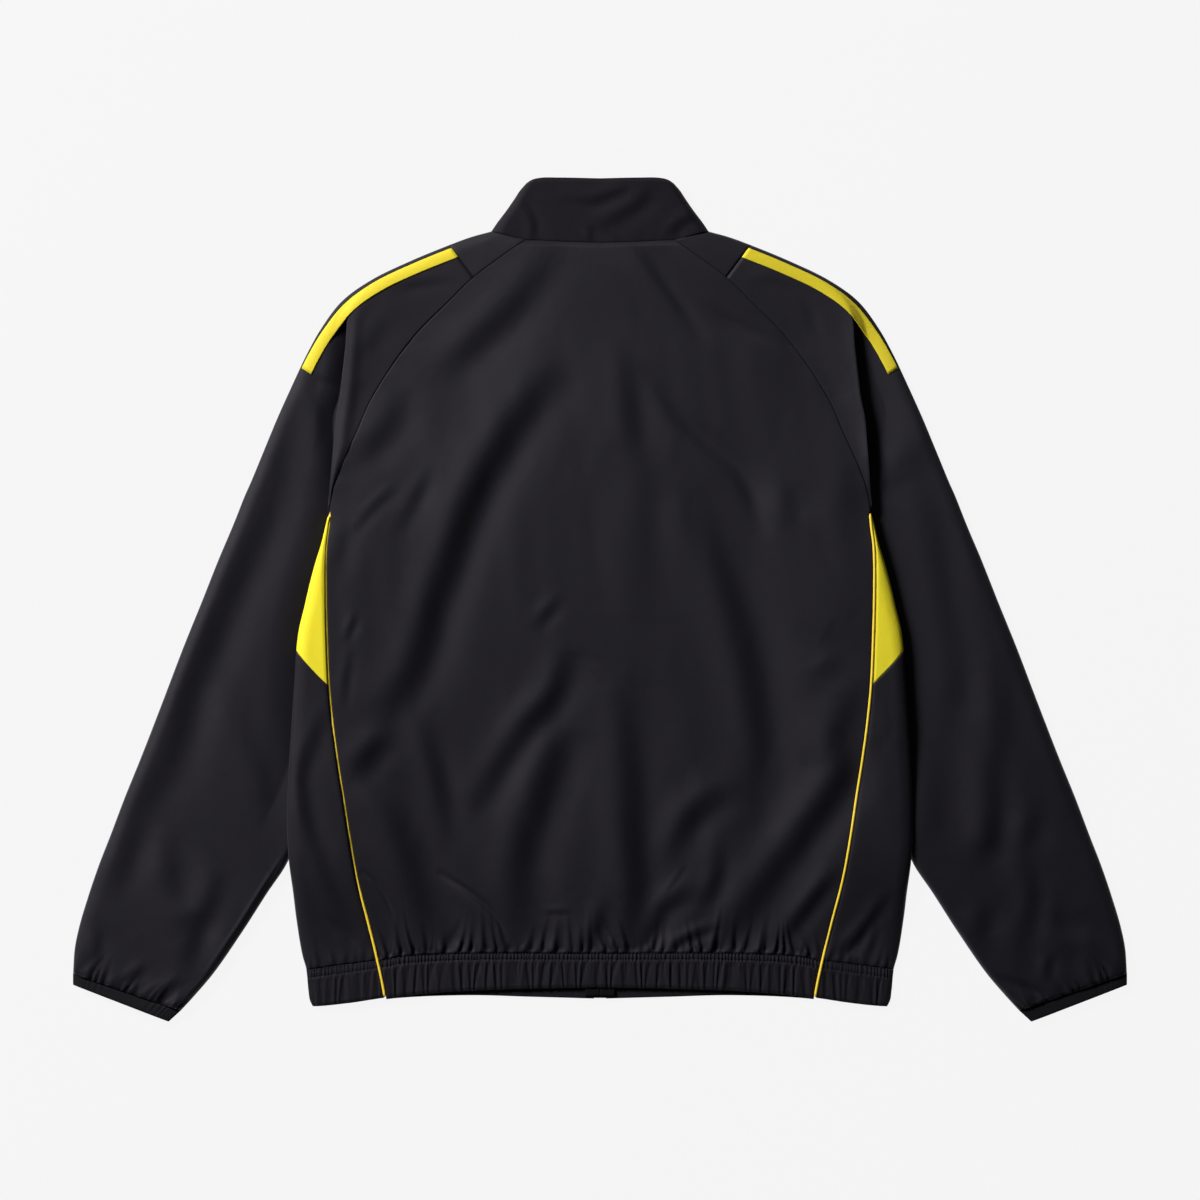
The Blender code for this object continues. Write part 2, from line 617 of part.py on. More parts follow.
def add_hem_side(side, label):
    shares = [0.0, 0.12, 0.24, 0.36, 0.48, 0.6, 0.71, 0.81, 0.9, 0.96, 1.0]
    rows = []
    for line, share in HEM_ROWS:
        points = []
        for upper, marks in ((True, shares), (False, shares[-2::-1])):
            for i, s in enumerate(marks):
                y = hem_y(line, hem_side_x(s) - 2.5 * line, BACK_HEM)
                x_seam = along(PIPING, y) + PIPING_R + GAP
                x_edge = min(along(SIDE_EDGE, y), 258.5 if line < 1 else 258.0)
                x = x_seam + s * (x_edge - x_seam)
                wave = 0.5 * HEM_WAVE * share * (1 if i % 2 else -1) * (0 if i in (0, 10) else 1)
                top, low, mid = HEM_LEVEL - 0.3, HEM_WAVE, 3.0
                if upper:
                    z = mid + (top - mid) * cap(x_edge - x, 9.0) + wave
                else:
                    z = mid + (low - mid) * cap(x_edge - x, 7.0) - wave
                points.append((side * x, y, z))
        rows.append(points)
    wall(f"hem_side_{label}", rows, roughness=0.66, flip=side < 0)


# ---------------------------------------------------------------- collar


def add_collar():
    columns = [-1.0, -0.97, -0.9, -0.78, -0.55, -0.3, 0.0, 0.3, 0.55, 0.78, 0.9, 0.97, 1.0]
    rows = []
    for r in np.linspace(0.0, 1.0, 8):
        half = along(COLLAR_SIDE, 365.5 - r * 41.5)
        under = [(ZIP_HALF + k / NECK_CELLS * (65.35 - ZIP_HALF)) / 95.5 for k in range(NECK_CELLS + 1)]
        under = [ZIP_HALF / half] + under[1:] + [0.8, 0.93]
        line = []
        for upper in (False, True, False):
            if upper:
                marks = columns
            elif not line:
                marks = [-m for m in under]
            else:
                marks = under[::-1]
            for s in marks:
                x = s * half
                foot = along(NECK_SEAM, abs(x)) if upper else front_neck(abs(x))
                y = along(COLLAR_TOP, min(abs(s) * 65.5, 65.5)) * (1 - r) + (foot + GAP / 2) * r
                edge = half - abs(x)
                if upper:
                    z = 3.6 + (body_top(x, min(y, 312.0)) - 3.6) * cap(edge, 10.0)
                else:
                    z = 3.6 + (zip_rise(x, y) - 3.6) * cap(edge, 8.0)
                line.append((x, y, z))
        rows.append(line)
    wall("collar", rows)


# ---------------------------------------------------------------- trims


def tube(name, path, radius, colour, roughness):
    """A round cord along a path of points in mm."""
    data = bpy.data.curves.new(name, "CURVE")
    data.dimensions = "3D"
    data.bevel_depth = radius * MM
    data.bevel_resolution = 1
    data.use_fill_caps = True
    spline = data.splines.new("POLY")
    spline.points.add(len(path) - 1)
    for point, place in zip(spline.points, path):
        point.co = (*(c * MM for c in place), 1.0)
    obj = bpy.data.objects.new(name, data)
    finish(obj, colour, roughness)


def add_piping(side, label):
    """Piping between the back or front and the side, from the gusset over the hem."""
    levels = rows_between(gusset_foot(0.0) - 2.0, -349.0, 14.0)
    back = [
        (side * along(PIPING, y), y, (body_top(along(PIPING, y) * side, y) if y > -312 else HEM_LEVEL) - 0.2)
        for y in levels
    ]
    front = [
        (side * along(PIPING, y), y, front_low(along(PIPING, y), y) + PIPING_R + 0.05) for y in levels
    ]
    tube(f"piping_back_{label}", back, PIPING_R, YELLOW, 0.5)
    tube(f"piping_front_{label}", front, PIPING_R, YELLOW, 0.5)


def box(name, centre, size, colour, roughness, metallic=0.0, bevel=0.0, hidden=False):
    """A block by its centre and size in mm."""
    bpy.ops.mesh.primitive_cube_add(size=1.0, location=tuple(c * MM for c in centre))
    obj = bpy.context.object
    obj.name = obj.data.name = name
    obj.data.transform(Matrix.Diagonal((size[0] * MM, size[1] * MM, size[2] * MM, 1.0)))
    for old in list(obj.users_collection):
        old.objects.unlink(obj)
    if hidden:
        bpy.data.collections["cutters"].objects.link(obj)
        obj.hide_render = True
        obj.display_type = "WIRE"
    else:
        finish(obj, colour, roughness, metallic)
    if bevel:
        mod = obj.modifiers.new("edges", "BEVEL")
        mod.width = bevel * MM
        mod.segments = 2
    return obj


def cut(obj, tool, operation="DIFFERENCE"):
    mod = obj.modifiers.new(operation.lower(), "BOOLEAN")
    mod.operation = operation
    mod.object = tool
    mod.solver = "EXACT"


SLIDER_Y = 360.0
CHAIN_TOP = 362.5
CHAIN_FOOT = -343.4
ZIP_PLANE = 1.2 + ZIP_RISE  # middle of the chain where the slider sits
HINGE_DROP = 3.3  # from that plane down to the pull tab's axis
TAB_LENGTH = 26.0


def zip_strip(name, x_in, x_out, low, high, top, bottom, over_hem, roughness):
    """A flat strip along the closed front, which follows its lift over the slider."""
    levels = rows_between(top, 325.0, 16.0) + rows_between(312.0, 276.0, 12.0)
    levels += rows_between(240.0, -285.0, 130.0) + [-306.0, bottom]
    rows, under = [], []
    for y in levels:
        lift = zip_rise(x_in, y) + over_hem * smooth(-285.0, -306.0, y)
        rows.append([(x, y, high + lift) for x in (x_in, x_out)])
        under.append([(x, y, low + lift) for x in (x_in, x_out)])
    cloth(name, np.array(rows), np.array(under), TRIM_BLACK, roughness)


def add_zip():
    zip_strip("zip_chain", -2.7, 2.7, 0.25, 2.1, CHAIN_TOP, CHAIN_FOOT, 0.0, 0.4)
    for side, label in ((-1, "left"), (1, "right")):
        zip_strip(
            f"zip_tape_{label}", side * 3.0, side * 13.0, 1.6, 2.3, CHAIN_TOP, CHAIN_FOOT, 1.2, 0.75,
        )
    box("zip_box", (0.0, -346.8, 1.8), (9.6, 6.0, 3.0), METAL, 0.4, 0.6, 0.3)
    body = box("zip_slider", (0.0, SLIDER_Y, ZIP_PLANE), (8.8, 13.0, 5.0), METAL, 0.35, 0.7)
    slot = box("slider_slot", (0.0, SLIDER_Y - 3.0, ZIP_PLANE), (12.0, 13.0, 2.9), METAL, 0.5, hidden=True)
    cut(body, slot)
    axis = ZIP_PLANE - HINGE_DROP
    crown = box("slider_crown", (0.0, SLIDER_Y, axis - 0.1), (2.0, 7.0, 2.2), METAL, 0.5, hidden=True)
    eye = box("slider_eye", (0.0, SLIDER_Y, axis), (4.0, 4.0, 1.6), METAL, 0.5, hidden=True)
    cut(crown, eye)
    cut(body, crown, "UNION")


def add_pull_tab():
    """The tab's bar passes through the slider's eye; the origin lies on that axis."""
    axis = ZIP_PLANE - HINGE_DROP
    tab = box("zip_pull", (0.0, SLIDER_Y, axis), (6.0, TAB_LENGTH, 0.9), METAL, 0.35, 0.7)
    tab.data.transform(Matrix.Translation((0.0, (0.45 - TAB_LENGTH / 2) * MM, 0.0)))
    for name, centre, length, width in (("ring", 2.75, 4.6, 3.2), ("grip", 20.0, 5.0, 2.4)):
        hole = box(
            f"pull_{name}", (0.0, SLIDER_Y - centre, axis), (width, length, 3.0), METAL, 0.5, hidden=True,
        )
        cut(tab, hole)


def main():
    for obj in list(bpy.data.objects):
        bpy.data.objects.remove(obj, do_unlink=True)
    for name in ("windbreaker", "cutters"):
        group = bpy.data.collections.new(name)
        bpy.context.scene.collection.children.link(group)
    add_back()
    waves = round(2 * 190.0 / HEM_PITCH)
    add_hem_flat("hem_back", 1, True, BACK_HEM, 0.0, waves)
    for side, label in ((-1, "left"), (1, "right")):
        add_front(side, label)
        add_sides(side, label)
        add_sleeve(side, label)
        add_cuff(side, label)
        add_hem_side(side, label)
        add_hem_flat(f"hem_front_{label}", side, False, FRONT_HEM, ZIP_HALF, waves // 2)
        add_piping(side, label)
    add_collar()
    add_zip()
    add_pull_tab()


main()
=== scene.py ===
"""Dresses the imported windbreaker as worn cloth: panels, creases, gathers, seams, trims and zip.

The garment lies face down with its back up and its sleeves swept down. Lengths in the tables and
in the shape functions are millimetres, and the meshes and the finishes' reliefs are in metres.
"""

import logging
import math
from dataclasses import dataclass, replace
from enum import Enum
from typing import Callable, Iterable, Sequence

import bmesh
import bpy
import numpy as np
from mathutils import Matrix, Vector

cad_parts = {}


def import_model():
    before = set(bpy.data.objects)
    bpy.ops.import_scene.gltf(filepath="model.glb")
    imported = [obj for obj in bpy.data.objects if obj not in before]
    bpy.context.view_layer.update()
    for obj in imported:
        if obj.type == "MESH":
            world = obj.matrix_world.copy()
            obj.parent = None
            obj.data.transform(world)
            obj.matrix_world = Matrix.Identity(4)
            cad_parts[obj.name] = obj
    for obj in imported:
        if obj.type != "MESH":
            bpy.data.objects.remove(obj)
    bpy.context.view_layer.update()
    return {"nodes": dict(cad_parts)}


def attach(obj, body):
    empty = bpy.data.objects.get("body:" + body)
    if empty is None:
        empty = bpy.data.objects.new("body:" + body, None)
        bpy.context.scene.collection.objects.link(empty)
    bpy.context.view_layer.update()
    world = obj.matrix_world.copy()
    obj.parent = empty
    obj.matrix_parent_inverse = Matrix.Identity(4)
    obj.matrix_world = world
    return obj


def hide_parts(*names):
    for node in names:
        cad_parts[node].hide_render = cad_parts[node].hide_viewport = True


MM = 0.001
LOG = logging.getLogger("windbreaker")
WHITE = (1.0, 1.0, 1.0, 1.0)

Array = np.ndarray
Table = tuple[tuple[float, ...], ...]
Colour = tuple[float, float, float]


class Side(Enum):
    """The two halves of the laid garment."""

    LEFT = -1
    RIGHT = 1

    @property
    def label(self) -> str:
        """The half's name, as it ends a piece's name."""
        return self.name.lower()


class Held(Enum):
    """How a sheet of cloth is held in the finished garment."""

    LAID = "laid"
    FOLDED = "folded"
    GATHERED = "gathered"


# ---------------------------------------------------------------- sizes


def smooth(low: float, high: float, value: Array) -> Array:
    """An S curve between two marks.

    Args:
        low: Value that gives 0.
        high: Value that gives 1; it may lie below low.
        value: Where the curve is read.

    Returns:
        Shares from 0 to 1.
    """
    t = np.clip((np.asarray(value, dtype=float) - low) / (high - low), 0.0, 1.0)
    return t * t * (3.0 - 2.0 * t)


def cap(distance: Array, reach: float | Array) -> Array:
    """Height share of a rounded edge.

    Args:
        distance: Distance in from the edge.
        reach: How far the edge takes to round over.

    Returns:
        0 at the edge, 1 from reach inwards.
    """
    t = 1.0 - np.clip(np.asarray(distance, dtype=float) / reach, 0.0, 1.0)
    return np.sqrt(np.maximum(0.0, 1.0 - t * t))


def wander(value: Array, seed: int) -> Array:
    """A smooth, uneven wave for handmade irregularity.

    Args:
        value: Place along the line, where 1 is about the length of one change.
        seed: Which of the waves.

    Returns:
        Values between about -1 and 1.
    """
    rng = np.random.default_rng(seed)
    phases, speeds = rng.uniform(0, 6.28, 4), rng.uniform(0.75, 1.3, 4) * (1.0, 1.73, 2.61, 0.57)
    waves = [np.sin(2.2 * f * np.asarray(value, dtype=float) + p) for f, p in zip(speeds, phases)]
    return (waves[0] + 0.7 * waves[1] + 0.45 * waves[2] + 0.6 * waves[3]) / 2.1


@dataclass(frozen=True)
class SizeTable:
    """A size that changes along the garment, read through a smooth curve."""

    rows: Table

    def at(self, key: Array) -> Array:
        """Reads the table.

        Args:
            key: Values of the first column.

        Returns:
            Values of the second column.
        """
        keys, values = np.array(sorted(self.rows)).T
        key = np.clip(np.asarray(key, dtype=float), keys[0], keys[-1])
        i = np.clip(np.searchsorted(keys, key) - 1, 0, len(keys) - 2)
        slopes = np.diff(values) / np.diff(keys)
        tangents = np.concatenate((slopes[:1], 0.5 * (slopes[:-1] + slopes[1:]), slopes[-1:]))
        span = keys[i + 1] - keys[i]
        t = (key - keys[i]) / span
        t2, t3 = t * t, t * t * t
        ends = (2 * t3 - 3 * t2 + 1) * values[i] + (3 * t2 - 2 * t3) * values[i + 1]
        return ends + (t3 - 2 * t2 + t) * span * tangents[i] + (t3 - t2) * span * tangents[i + 1]


class CreaseForm(Enum):
    """The section of a crease: a fold turns a face from the light, a rise or dip is even."""

    FOLD = "fold"
    EVEN = "even"


@dataclass(frozen=True)
class Crease:
    """One crease of the laid cloth, placed along a bent line."""

    path: tuple[tuple[float, float], ...]
    width: float
    depth: float
    form: CreaseForm = CreaseForm.FOLD

    def softened(self, share: float) -> "Crease":
        """The same crease, broader and as much deeper where it is a large one."""
        grow = 1.0 + share * float(smooth(4.0, 9.0, self.width))
        return replace(self, width=self.width * grow, depth=self.depth * grow)

    def line(self) -> Array:
        """The path as a finer, smooth line.

        Returns:
            Points of the line, one a row.
        """
        points = np.array(self.path, dtype=float)
        if len(points) < 3:
            return np.linspace(points[0], points[1], 7)
        marks = np.arange(len(points), dtype=float)
        fine = np.linspace(0.0, len(points) - 1.0, 6 * (len(points) - 1) + 1)
        columns = [SizeTable(tuple(zip(marks, points[:, i]))).at(fine) for i in (0, 1)]
        return np.stack(columns, axis=1)

    def height(self, x: Array, y: Array) -> Array:
        """How far the crease lifts or sinks the cloth.

        Args:
            x: Places across the garment.
            y: Places along it.

        Returns:
            Heights in mm.
        """
        out = np.zeros_like(x, dtype=float)
        line = self.line()
        reach = 3.2 * self.width
        low, high = line.min(axis=0) - reach, line.max(axis=0) + reach
        near = (x > low[0]) & (x < high[0]) & (y > low[1]) & (y < high[1])
        if not near.any():
            return out
        px, py = x[near], y[near]
        best = np.full(px.shape, 1e9)
        across, beyond, where = np.zeros_like(px), np.zeros_like(px), np.zeros_like(px)
        count = len(line) - 1
        whole = line[-1] - line[0]
        faces = float(AWAY_FROM_LIGHT @ (-whole[1], whole[0])) / math.hypot(*whole)
        turn = -1.0 if faces < 0 else 1.0
        for k, (a, b) in enumerate(zip(line, line[1:])):
            d = b - a
            length = math.hypot(*d) or 1e-6
            d = d / length
            normal = np.array((-d[1], d[0])) * turn
            raw = (px - a[0]) * d[0] + (py - a[1]) * d[1]
            t = np.clip(raw, 0.0, length)
            away = np.hypot(px - a[0] - t * d[0], py - a[1] - t * d[1])
            closer = away < best
            off = (px - a[0]) * normal[0] + (py - a[1]) * normal[1]
            signed = np.where(off < 0, -away, away)
            at_end = ((k == 0) & (raw < 0)) | ((k == count - 1) & (raw > length))
            across = np.where(closer, np.where(at_end, off, signed), across)
            beyond = np.where(closer, np.where(at_end, np.abs(raw - t), 0.0), beyond)
            where = np.where(closer, (k + t / length) / count, where)
            best = np.where(closer, away, best)
        s = across / self.width
        taper = np.sin(np.pi * (0.07 + 0.86 * where)) ** 0.8 * np.exp(-((beyond / self.width) ** 2))
        if self.form is CreaseForm.FOLD:
            # One that runs with the light casts no shade, so it is drawn as a groove
            with_light = float(smooth(0.55, 0.15, abs(faces)))
            profile = -s * np.exp(-0.5 * s * s) * (1.0 - with_light)
            profile = profile - 1.1 * np.exp(-2.0 * s * s) * with_light
        else:
            profile = np.exp(-s * s)
        out[near] = self.depth * profile * taper
        return out


AWAY_FROM_LIGHT = np.array((0.80, -0.60))
SOFTENED = 0.38  # how much broader and deeper a large crease is than its row says


def creased(creases: Iterable[Crease], x: Array, y: Array) -> Array:
    """The sum of several creases in mm at these places."""
    softer = (crease.softened(SOFTENED) for crease in creases)
    return sum((crease.height(x, y) for crease in softer), np.zeros_like(x, dtype=float))


# ---------------------------------------------------------------- creases, listed one by one

BACK_CREASES = tuple(Crease(*row) for row in (
    (((-46, 297), (-78, 255), (-110, 225), (-136, 201)), 9.5, 2.4),
    (((-176, 176), (-190, 146), (-218, 121)), 8.5, 1.8),
    (((-45, 193), (-78, 146), (-110, 88), (-140, 8), (-161, -59), (-185, -95)), 10.0, 4.4),
    (((-56, 209), (-110, 149), (-139, 88), (-165, 8)), 15.0, 1.4, CreaseForm.EVEN),
    (((-186, -119), (-200, -134), (-216, -154)), 7.5, 2.4),
    (((-155, -111), (-142, -154), (-133, -208)), 7.5, 2.4),
    (((-211, -154), (-181, -183), (-160, -238), (-142, -298)), 10.5, 4.2),
    (((-29, -50), (-40, -84), (-67, -116), (-106, -176)), 8.0, 3.3),
    (((-36, -111), (-42, -144), (-67, -225), (-67, -287)), 11.0, 4.0),
    (((-36, 0), (-55, -22)), 5.0, 1.4),
    (((-35, -15), (36, -16), (106, -15)), 2.4, 0.35),
    (((-31, -46), (3, -50)), 2.4, 0.5),
    (((83, 78), (111, 16), (131, -50), (141, -122), (137, -186)), 11.5, 4.2),
    (((23, -84), (29, -186), (32, -265), (29, -298)), 10.5, 4.2),
    (((111, -168), (89, -183), (75, -200), (62, -229)), 8.0, 2.6),
    (((216, -88), (209, -122), (213, -154), (179, -205), (146, -250), (111, -300)), 9.5, 4.0),
    (((187, -43), (201, -53), (194, -73)), 10.0, 1.6),
    (((38, 306), (58, 279), (89, 235)), 7.5, 2.4),
    (((104, 253), (122, 240), (146, 227)), 6.5, 1.5),
    (((49, 193), (79, 154), (122, 114), (143, 71)), 9.0, 3.0),
    (((22, 214), (26, 163), (29, 129)), 9.0, 2.1),
    (((162, 101), (171, 67)), 7.5, 1.5),
    (((80, -256), (58, -269), (49, -286), (37, -304)), 6.5, 2.6),
    (((101, -287), (74, -298), (64, -308)), 4.2, 1.9),
    (((104, -213), (103, -244), (89, -272)), 6.5, 2.1),
    (((205, -240), (186, -265), (161, -298)), 6.0, 2.5),
    (((4, -265), (-2, -287), (-13, -307)), 6.5, 2.3),
    (((-11, -238), (0, -250), (12, -263)), 2.0, 0.6),
    (((74, -234), (66, -246), (58, -257)), 2.0, 0.5),
    (((-210, -239), (-200, -244), (-189, -260), (-181, -279)), 1.5, -1.3, CreaseForm.EVEN),
    (((-140, -240), (-115, -256), (-93, -276), (-82, -297)), 1.9, -2.6, CreaseForm.EVEN),
    (((-146, -246), (-121, -262), (-99, -282), (-88, -303)), 6.0, 0.7, CreaseForm.EVEN),
    (((-48, -274), (-26, -274)), 2.6, 0.8),
    (((-214, -14), (-222, -33)), 3.5, 1.3),
    (((-218, -44), (-223, -71), (-224, -93)), 4.2, 0.9),
    (((-224, 70), (-230, 28)), 6.5, 1.3),
    (((8, 311), (16, 304), (23, 306)), 2.4, 0.6),
    (((24, 205), (30, 110), (24, -10)), 11.0, 0.9, CreaseForm.EVEN),
    (((-215, 62), (-196, 84), (-180, 96)), 4.0, 1.1),
    (((-178, 60), (-160, 92), (-150, 112)), 6.0, 1.2),
))
SIDE_CREASES = tuple(Crease(*row) for row in (
    (((-242, -102), (-261, -150), (-258, -186), (-248, -220), (-220, -291)), 6.5, 2.3),
    (((-236, -279), (-213, -304)), 4.4, 1.6),
    (((250, -262), (227, -295), (213, -308)), 5.0, 2.2),
    (((243, -287), (235, -313)), 3.5, 1.2),
))
SLEEVE_CREASES = tuple(Crease(*row) for row in (
    (((-271, 168), (-293, 82), (-325, 7), (-355, -67), (-382, -147), (-416, -207)), 10.5, 3.0),
    (((-321, -88), (-303, -137), (-288, -181)), 9.5, 2.3),
    (((-446, -232), (-452, -262)), 6.5, 1.2),
    (((-352, -269), (-365, -291)), 8.0, 1.8),
    (((-442, -291), (-440, -315)), 5.0, 1.6),
    (((-400, -322), (-416, -337)), 4.4, 1.6),
    (((-369, -335), (-394, -351)), 5.0, 1.8),
    (((-250, 195), (-229, 186)), 4.4, 1.0),
    (((-262, 190), (-248, 170), (-243, 140)), 6.5, 1.5),
    (((-404, -198), (-414, -225), (-425, -252)), 8.0, 1.6),
    (((-383, -198), (-377, -226), (-374, -252), (-362, -295)), 8.5, 2.0),
    (((-336, -244), (-344, -272), (-353, -295), (-362, -319)), 7.0, 2.0),
    (((-277, -224), (-297, -255), (-319, -290), (-344, -326)), 1.6, 0.9),
    (((346, -60), (352, -110), (349, -150)), 9.0, 1.4),
    (((372, -232), (380, -262), (372, -300)), 7.0, 1.8),
    (((271, 125), (293, 29), (308, -67), (300, -103), (293, -194)), 10.5, 3.0),
    (((344, -147), (345, -203), (335, -225)), 8.0, 2.5),
    (((379, -187), (374, -220)), 7.5, 1.7),
    (((335, -269), (337, -297)), 7.5, 1.9),
    (((403, -262), (405, -286), (432, -297), (438, -328)), 7.5, 1.9),
    (((394, -313), (392, -332)), 4.4, 1.6),
    (((348, -332), (383, -344), (394, -352)), 5.0, 2.0),
    (((-115, 280), (-153, 278), (-178, 274)), 5.0, 1.2),
    (((-180, 246), (-196, 227), (-200, 214)), 7.5, 1.7),
    (((-202, 198), (-208, 180)), 6.5, 1.3),
    (((124, 278), (143, 280), (171, 275)), 5.0, 1.2),
    (((143, 268), (149, 255)), 3.5, 0.8),
    (((176, 259), (188, 231)), 5.0, 1.3),
))
COLLAR_CREASES = tuple(Crease(*row) for row in (
    (((-31, 353), (-8, 350), (15, 357), (27, 360)), 5.0, 1.0),
    (((44, 360), (32, 346), (0, 327)), 6.0, 1.1),
    (((-70, 352), (-59, 334), (-57, 318)), 4.2, 0.9),
    (((-10, 327), (-7, 316)), 3.5, 0.7),
    (((87, 339), (71, 330), (60, 320)), 5.0, 1.0),
))
# The layer on the surface can only rise, so its creases are even and lift the cloth
FRONT_CREASES = tuple(Crease(*row, CreaseForm.EVEN) for row in (
    (((-40, 240), (-95, 160), (-150, 60), (-170, -40)), 11.0, 1.5),
    (((-190, -90), (-150, -190), (-120, -290)), 9.0, 1.7),
    (((-60, -60), (-78, -170), (-70, -300)), 9.0, 1.2),
    (((-110, 120), (-80, 20), (-90, -70)), 12.0, 0.9),
    (((50, 210), (110, 120), (140, 10)), 10.0, 1.4),
    (((90, 30), (135, -90), (125, -220)), 10.0, 1.5),
    (((205, -110), (170, -200), (105, -300)), 9.0, 1.7),
    (((48, -110), (55, -220), (40, -302)), 7.0, 1.2),
    (((-330, -60), (-345, -160), (-390, -260)), 10.0, 1.2),
    (((320, 10), (330, -120), (370, -240)), 10.0, 1.2),
))


# ---------------------------------------------------------------- layout


@dataclass(frozen=True)
class SleeveSections:
    """Sections of the laid sleeve from the neck to the cuff.

    seam_x, seam_y: the raglan seam, then the inner fold. edge_x, edge_y: the fold over the arm.
    pleat: where the shoulder pleat stands, as a share of the section. depth: how deep it falls.
    """

    rows: Table = (
        (65.5, 316.0, 95.3, 324.0, 0.94, 0.0),
        (89.0, 299.5, 113.5, 319.0, 0.94, 0.0),
        (111.0, 283.0, 132.5, 312.0, 0.94, 0.0),
        (134.0, 260.5, 166.5, 298.0, 0.94, 0.0),
        (157.0, 238.0, 201.5, 281.0, 0.94, 0.0),
        (174.5, 216.5, 227.0, 262.5, 0.853, 2.6),
        (189.5, 195.0, 245.5, 238.0, 0.609, 4.6),
        (202.0, 174.0, 259.0, 213.5, 0.439, 5.4),
        (206.0, 165.5, 264.0, 203.0, 0.384, 5.6),
        (213.0, 148.5, 273.0, 183.5, 0.32, 5.7),
        (223.0, 126.5, 284.0, 159.0, 0.184, 5.6),
        (231.0, 107.0, 292.5, 138.5, 0.083, 4.8),
        (235.4, 92.0, 299.5, 121.5, 0.03, 3.2),
        (237.4, 78.0, 306.5, 104.5, 0.02, 1.0),
        (238.6, 66.0, 312.5, 91.0, 0.03, 0.0),
        (240.2, 55.0, 319.0, 74.5, 0.04, 0.0),
        (241.8, 42.0, 324.5, 61.0, 0.05, 0.0),
        (243.4, 20.0, 334.5, 37.5, 0.06, 0.0),
        (245.0, -15.0, 350.0, -1.5, 0.06, 0.0),
        (247.0, -60.0, 366.0, -41.0, 0.06, 0.0),
        (249.5, -105.0, 384.5, -89.5, 0.06, 0.0),
        (255.0, -155.0, 403.5, -138.5, 0.06, 0.0),
        (264.0, -200.0, 418.5, -175.5, 0.06, 0.0),
        (275.0, -231.0, 430.0, -206.0, 0.06, 0.0),
        (292.5, -257.5, 440.5, -233.0, 0.06, 0.0),
        (315.0, -292.5, 451.0, -264.0, 0.06, 0.0),
        (340.0, -328.5, 458.5, -290.0, 0.06, 0.0),
        (357.5, -349.0, 462.0, -308.5, 0.06, 0.0),
        (368.2, -360.6, 463.2, -328.2, 0.06, 0.0),
    )
    yoke: int = 2  # section at the yoke's foot
    tape_end: int = 8  # section at the foot of the shoulder tape
    armpit: int = 13  # section where the sleeve closes

    def marks(self) -> Array:
        """How far down the sleeve each section lies, in mm.

        Returns:
            A distance for each section, from 0.
        """
        rows = np.array(self.rows)
        middle = 0.5 * (rows[:, :2] + rows[:, 2:4])
        return np.concatenate(([0.0], np.linalg.norm(np.diff(middle, axis=0), axis=1).cumsum()))

    def at(self, place: Array) -> Array:
        """The sections between the named ones.

        Args:
            place: Distances down the sleeve.

        Returns:
            One column for each size of the sections.
        """
        marks, rows = self.marks(), np.array(self.rows)
        tables = [SizeTable(tuple(zip(marks, column))) for column in rows.T]
        return np.stack([table.at(place) for table in tables], axis=1)


SECTIONS = SleeveSections()


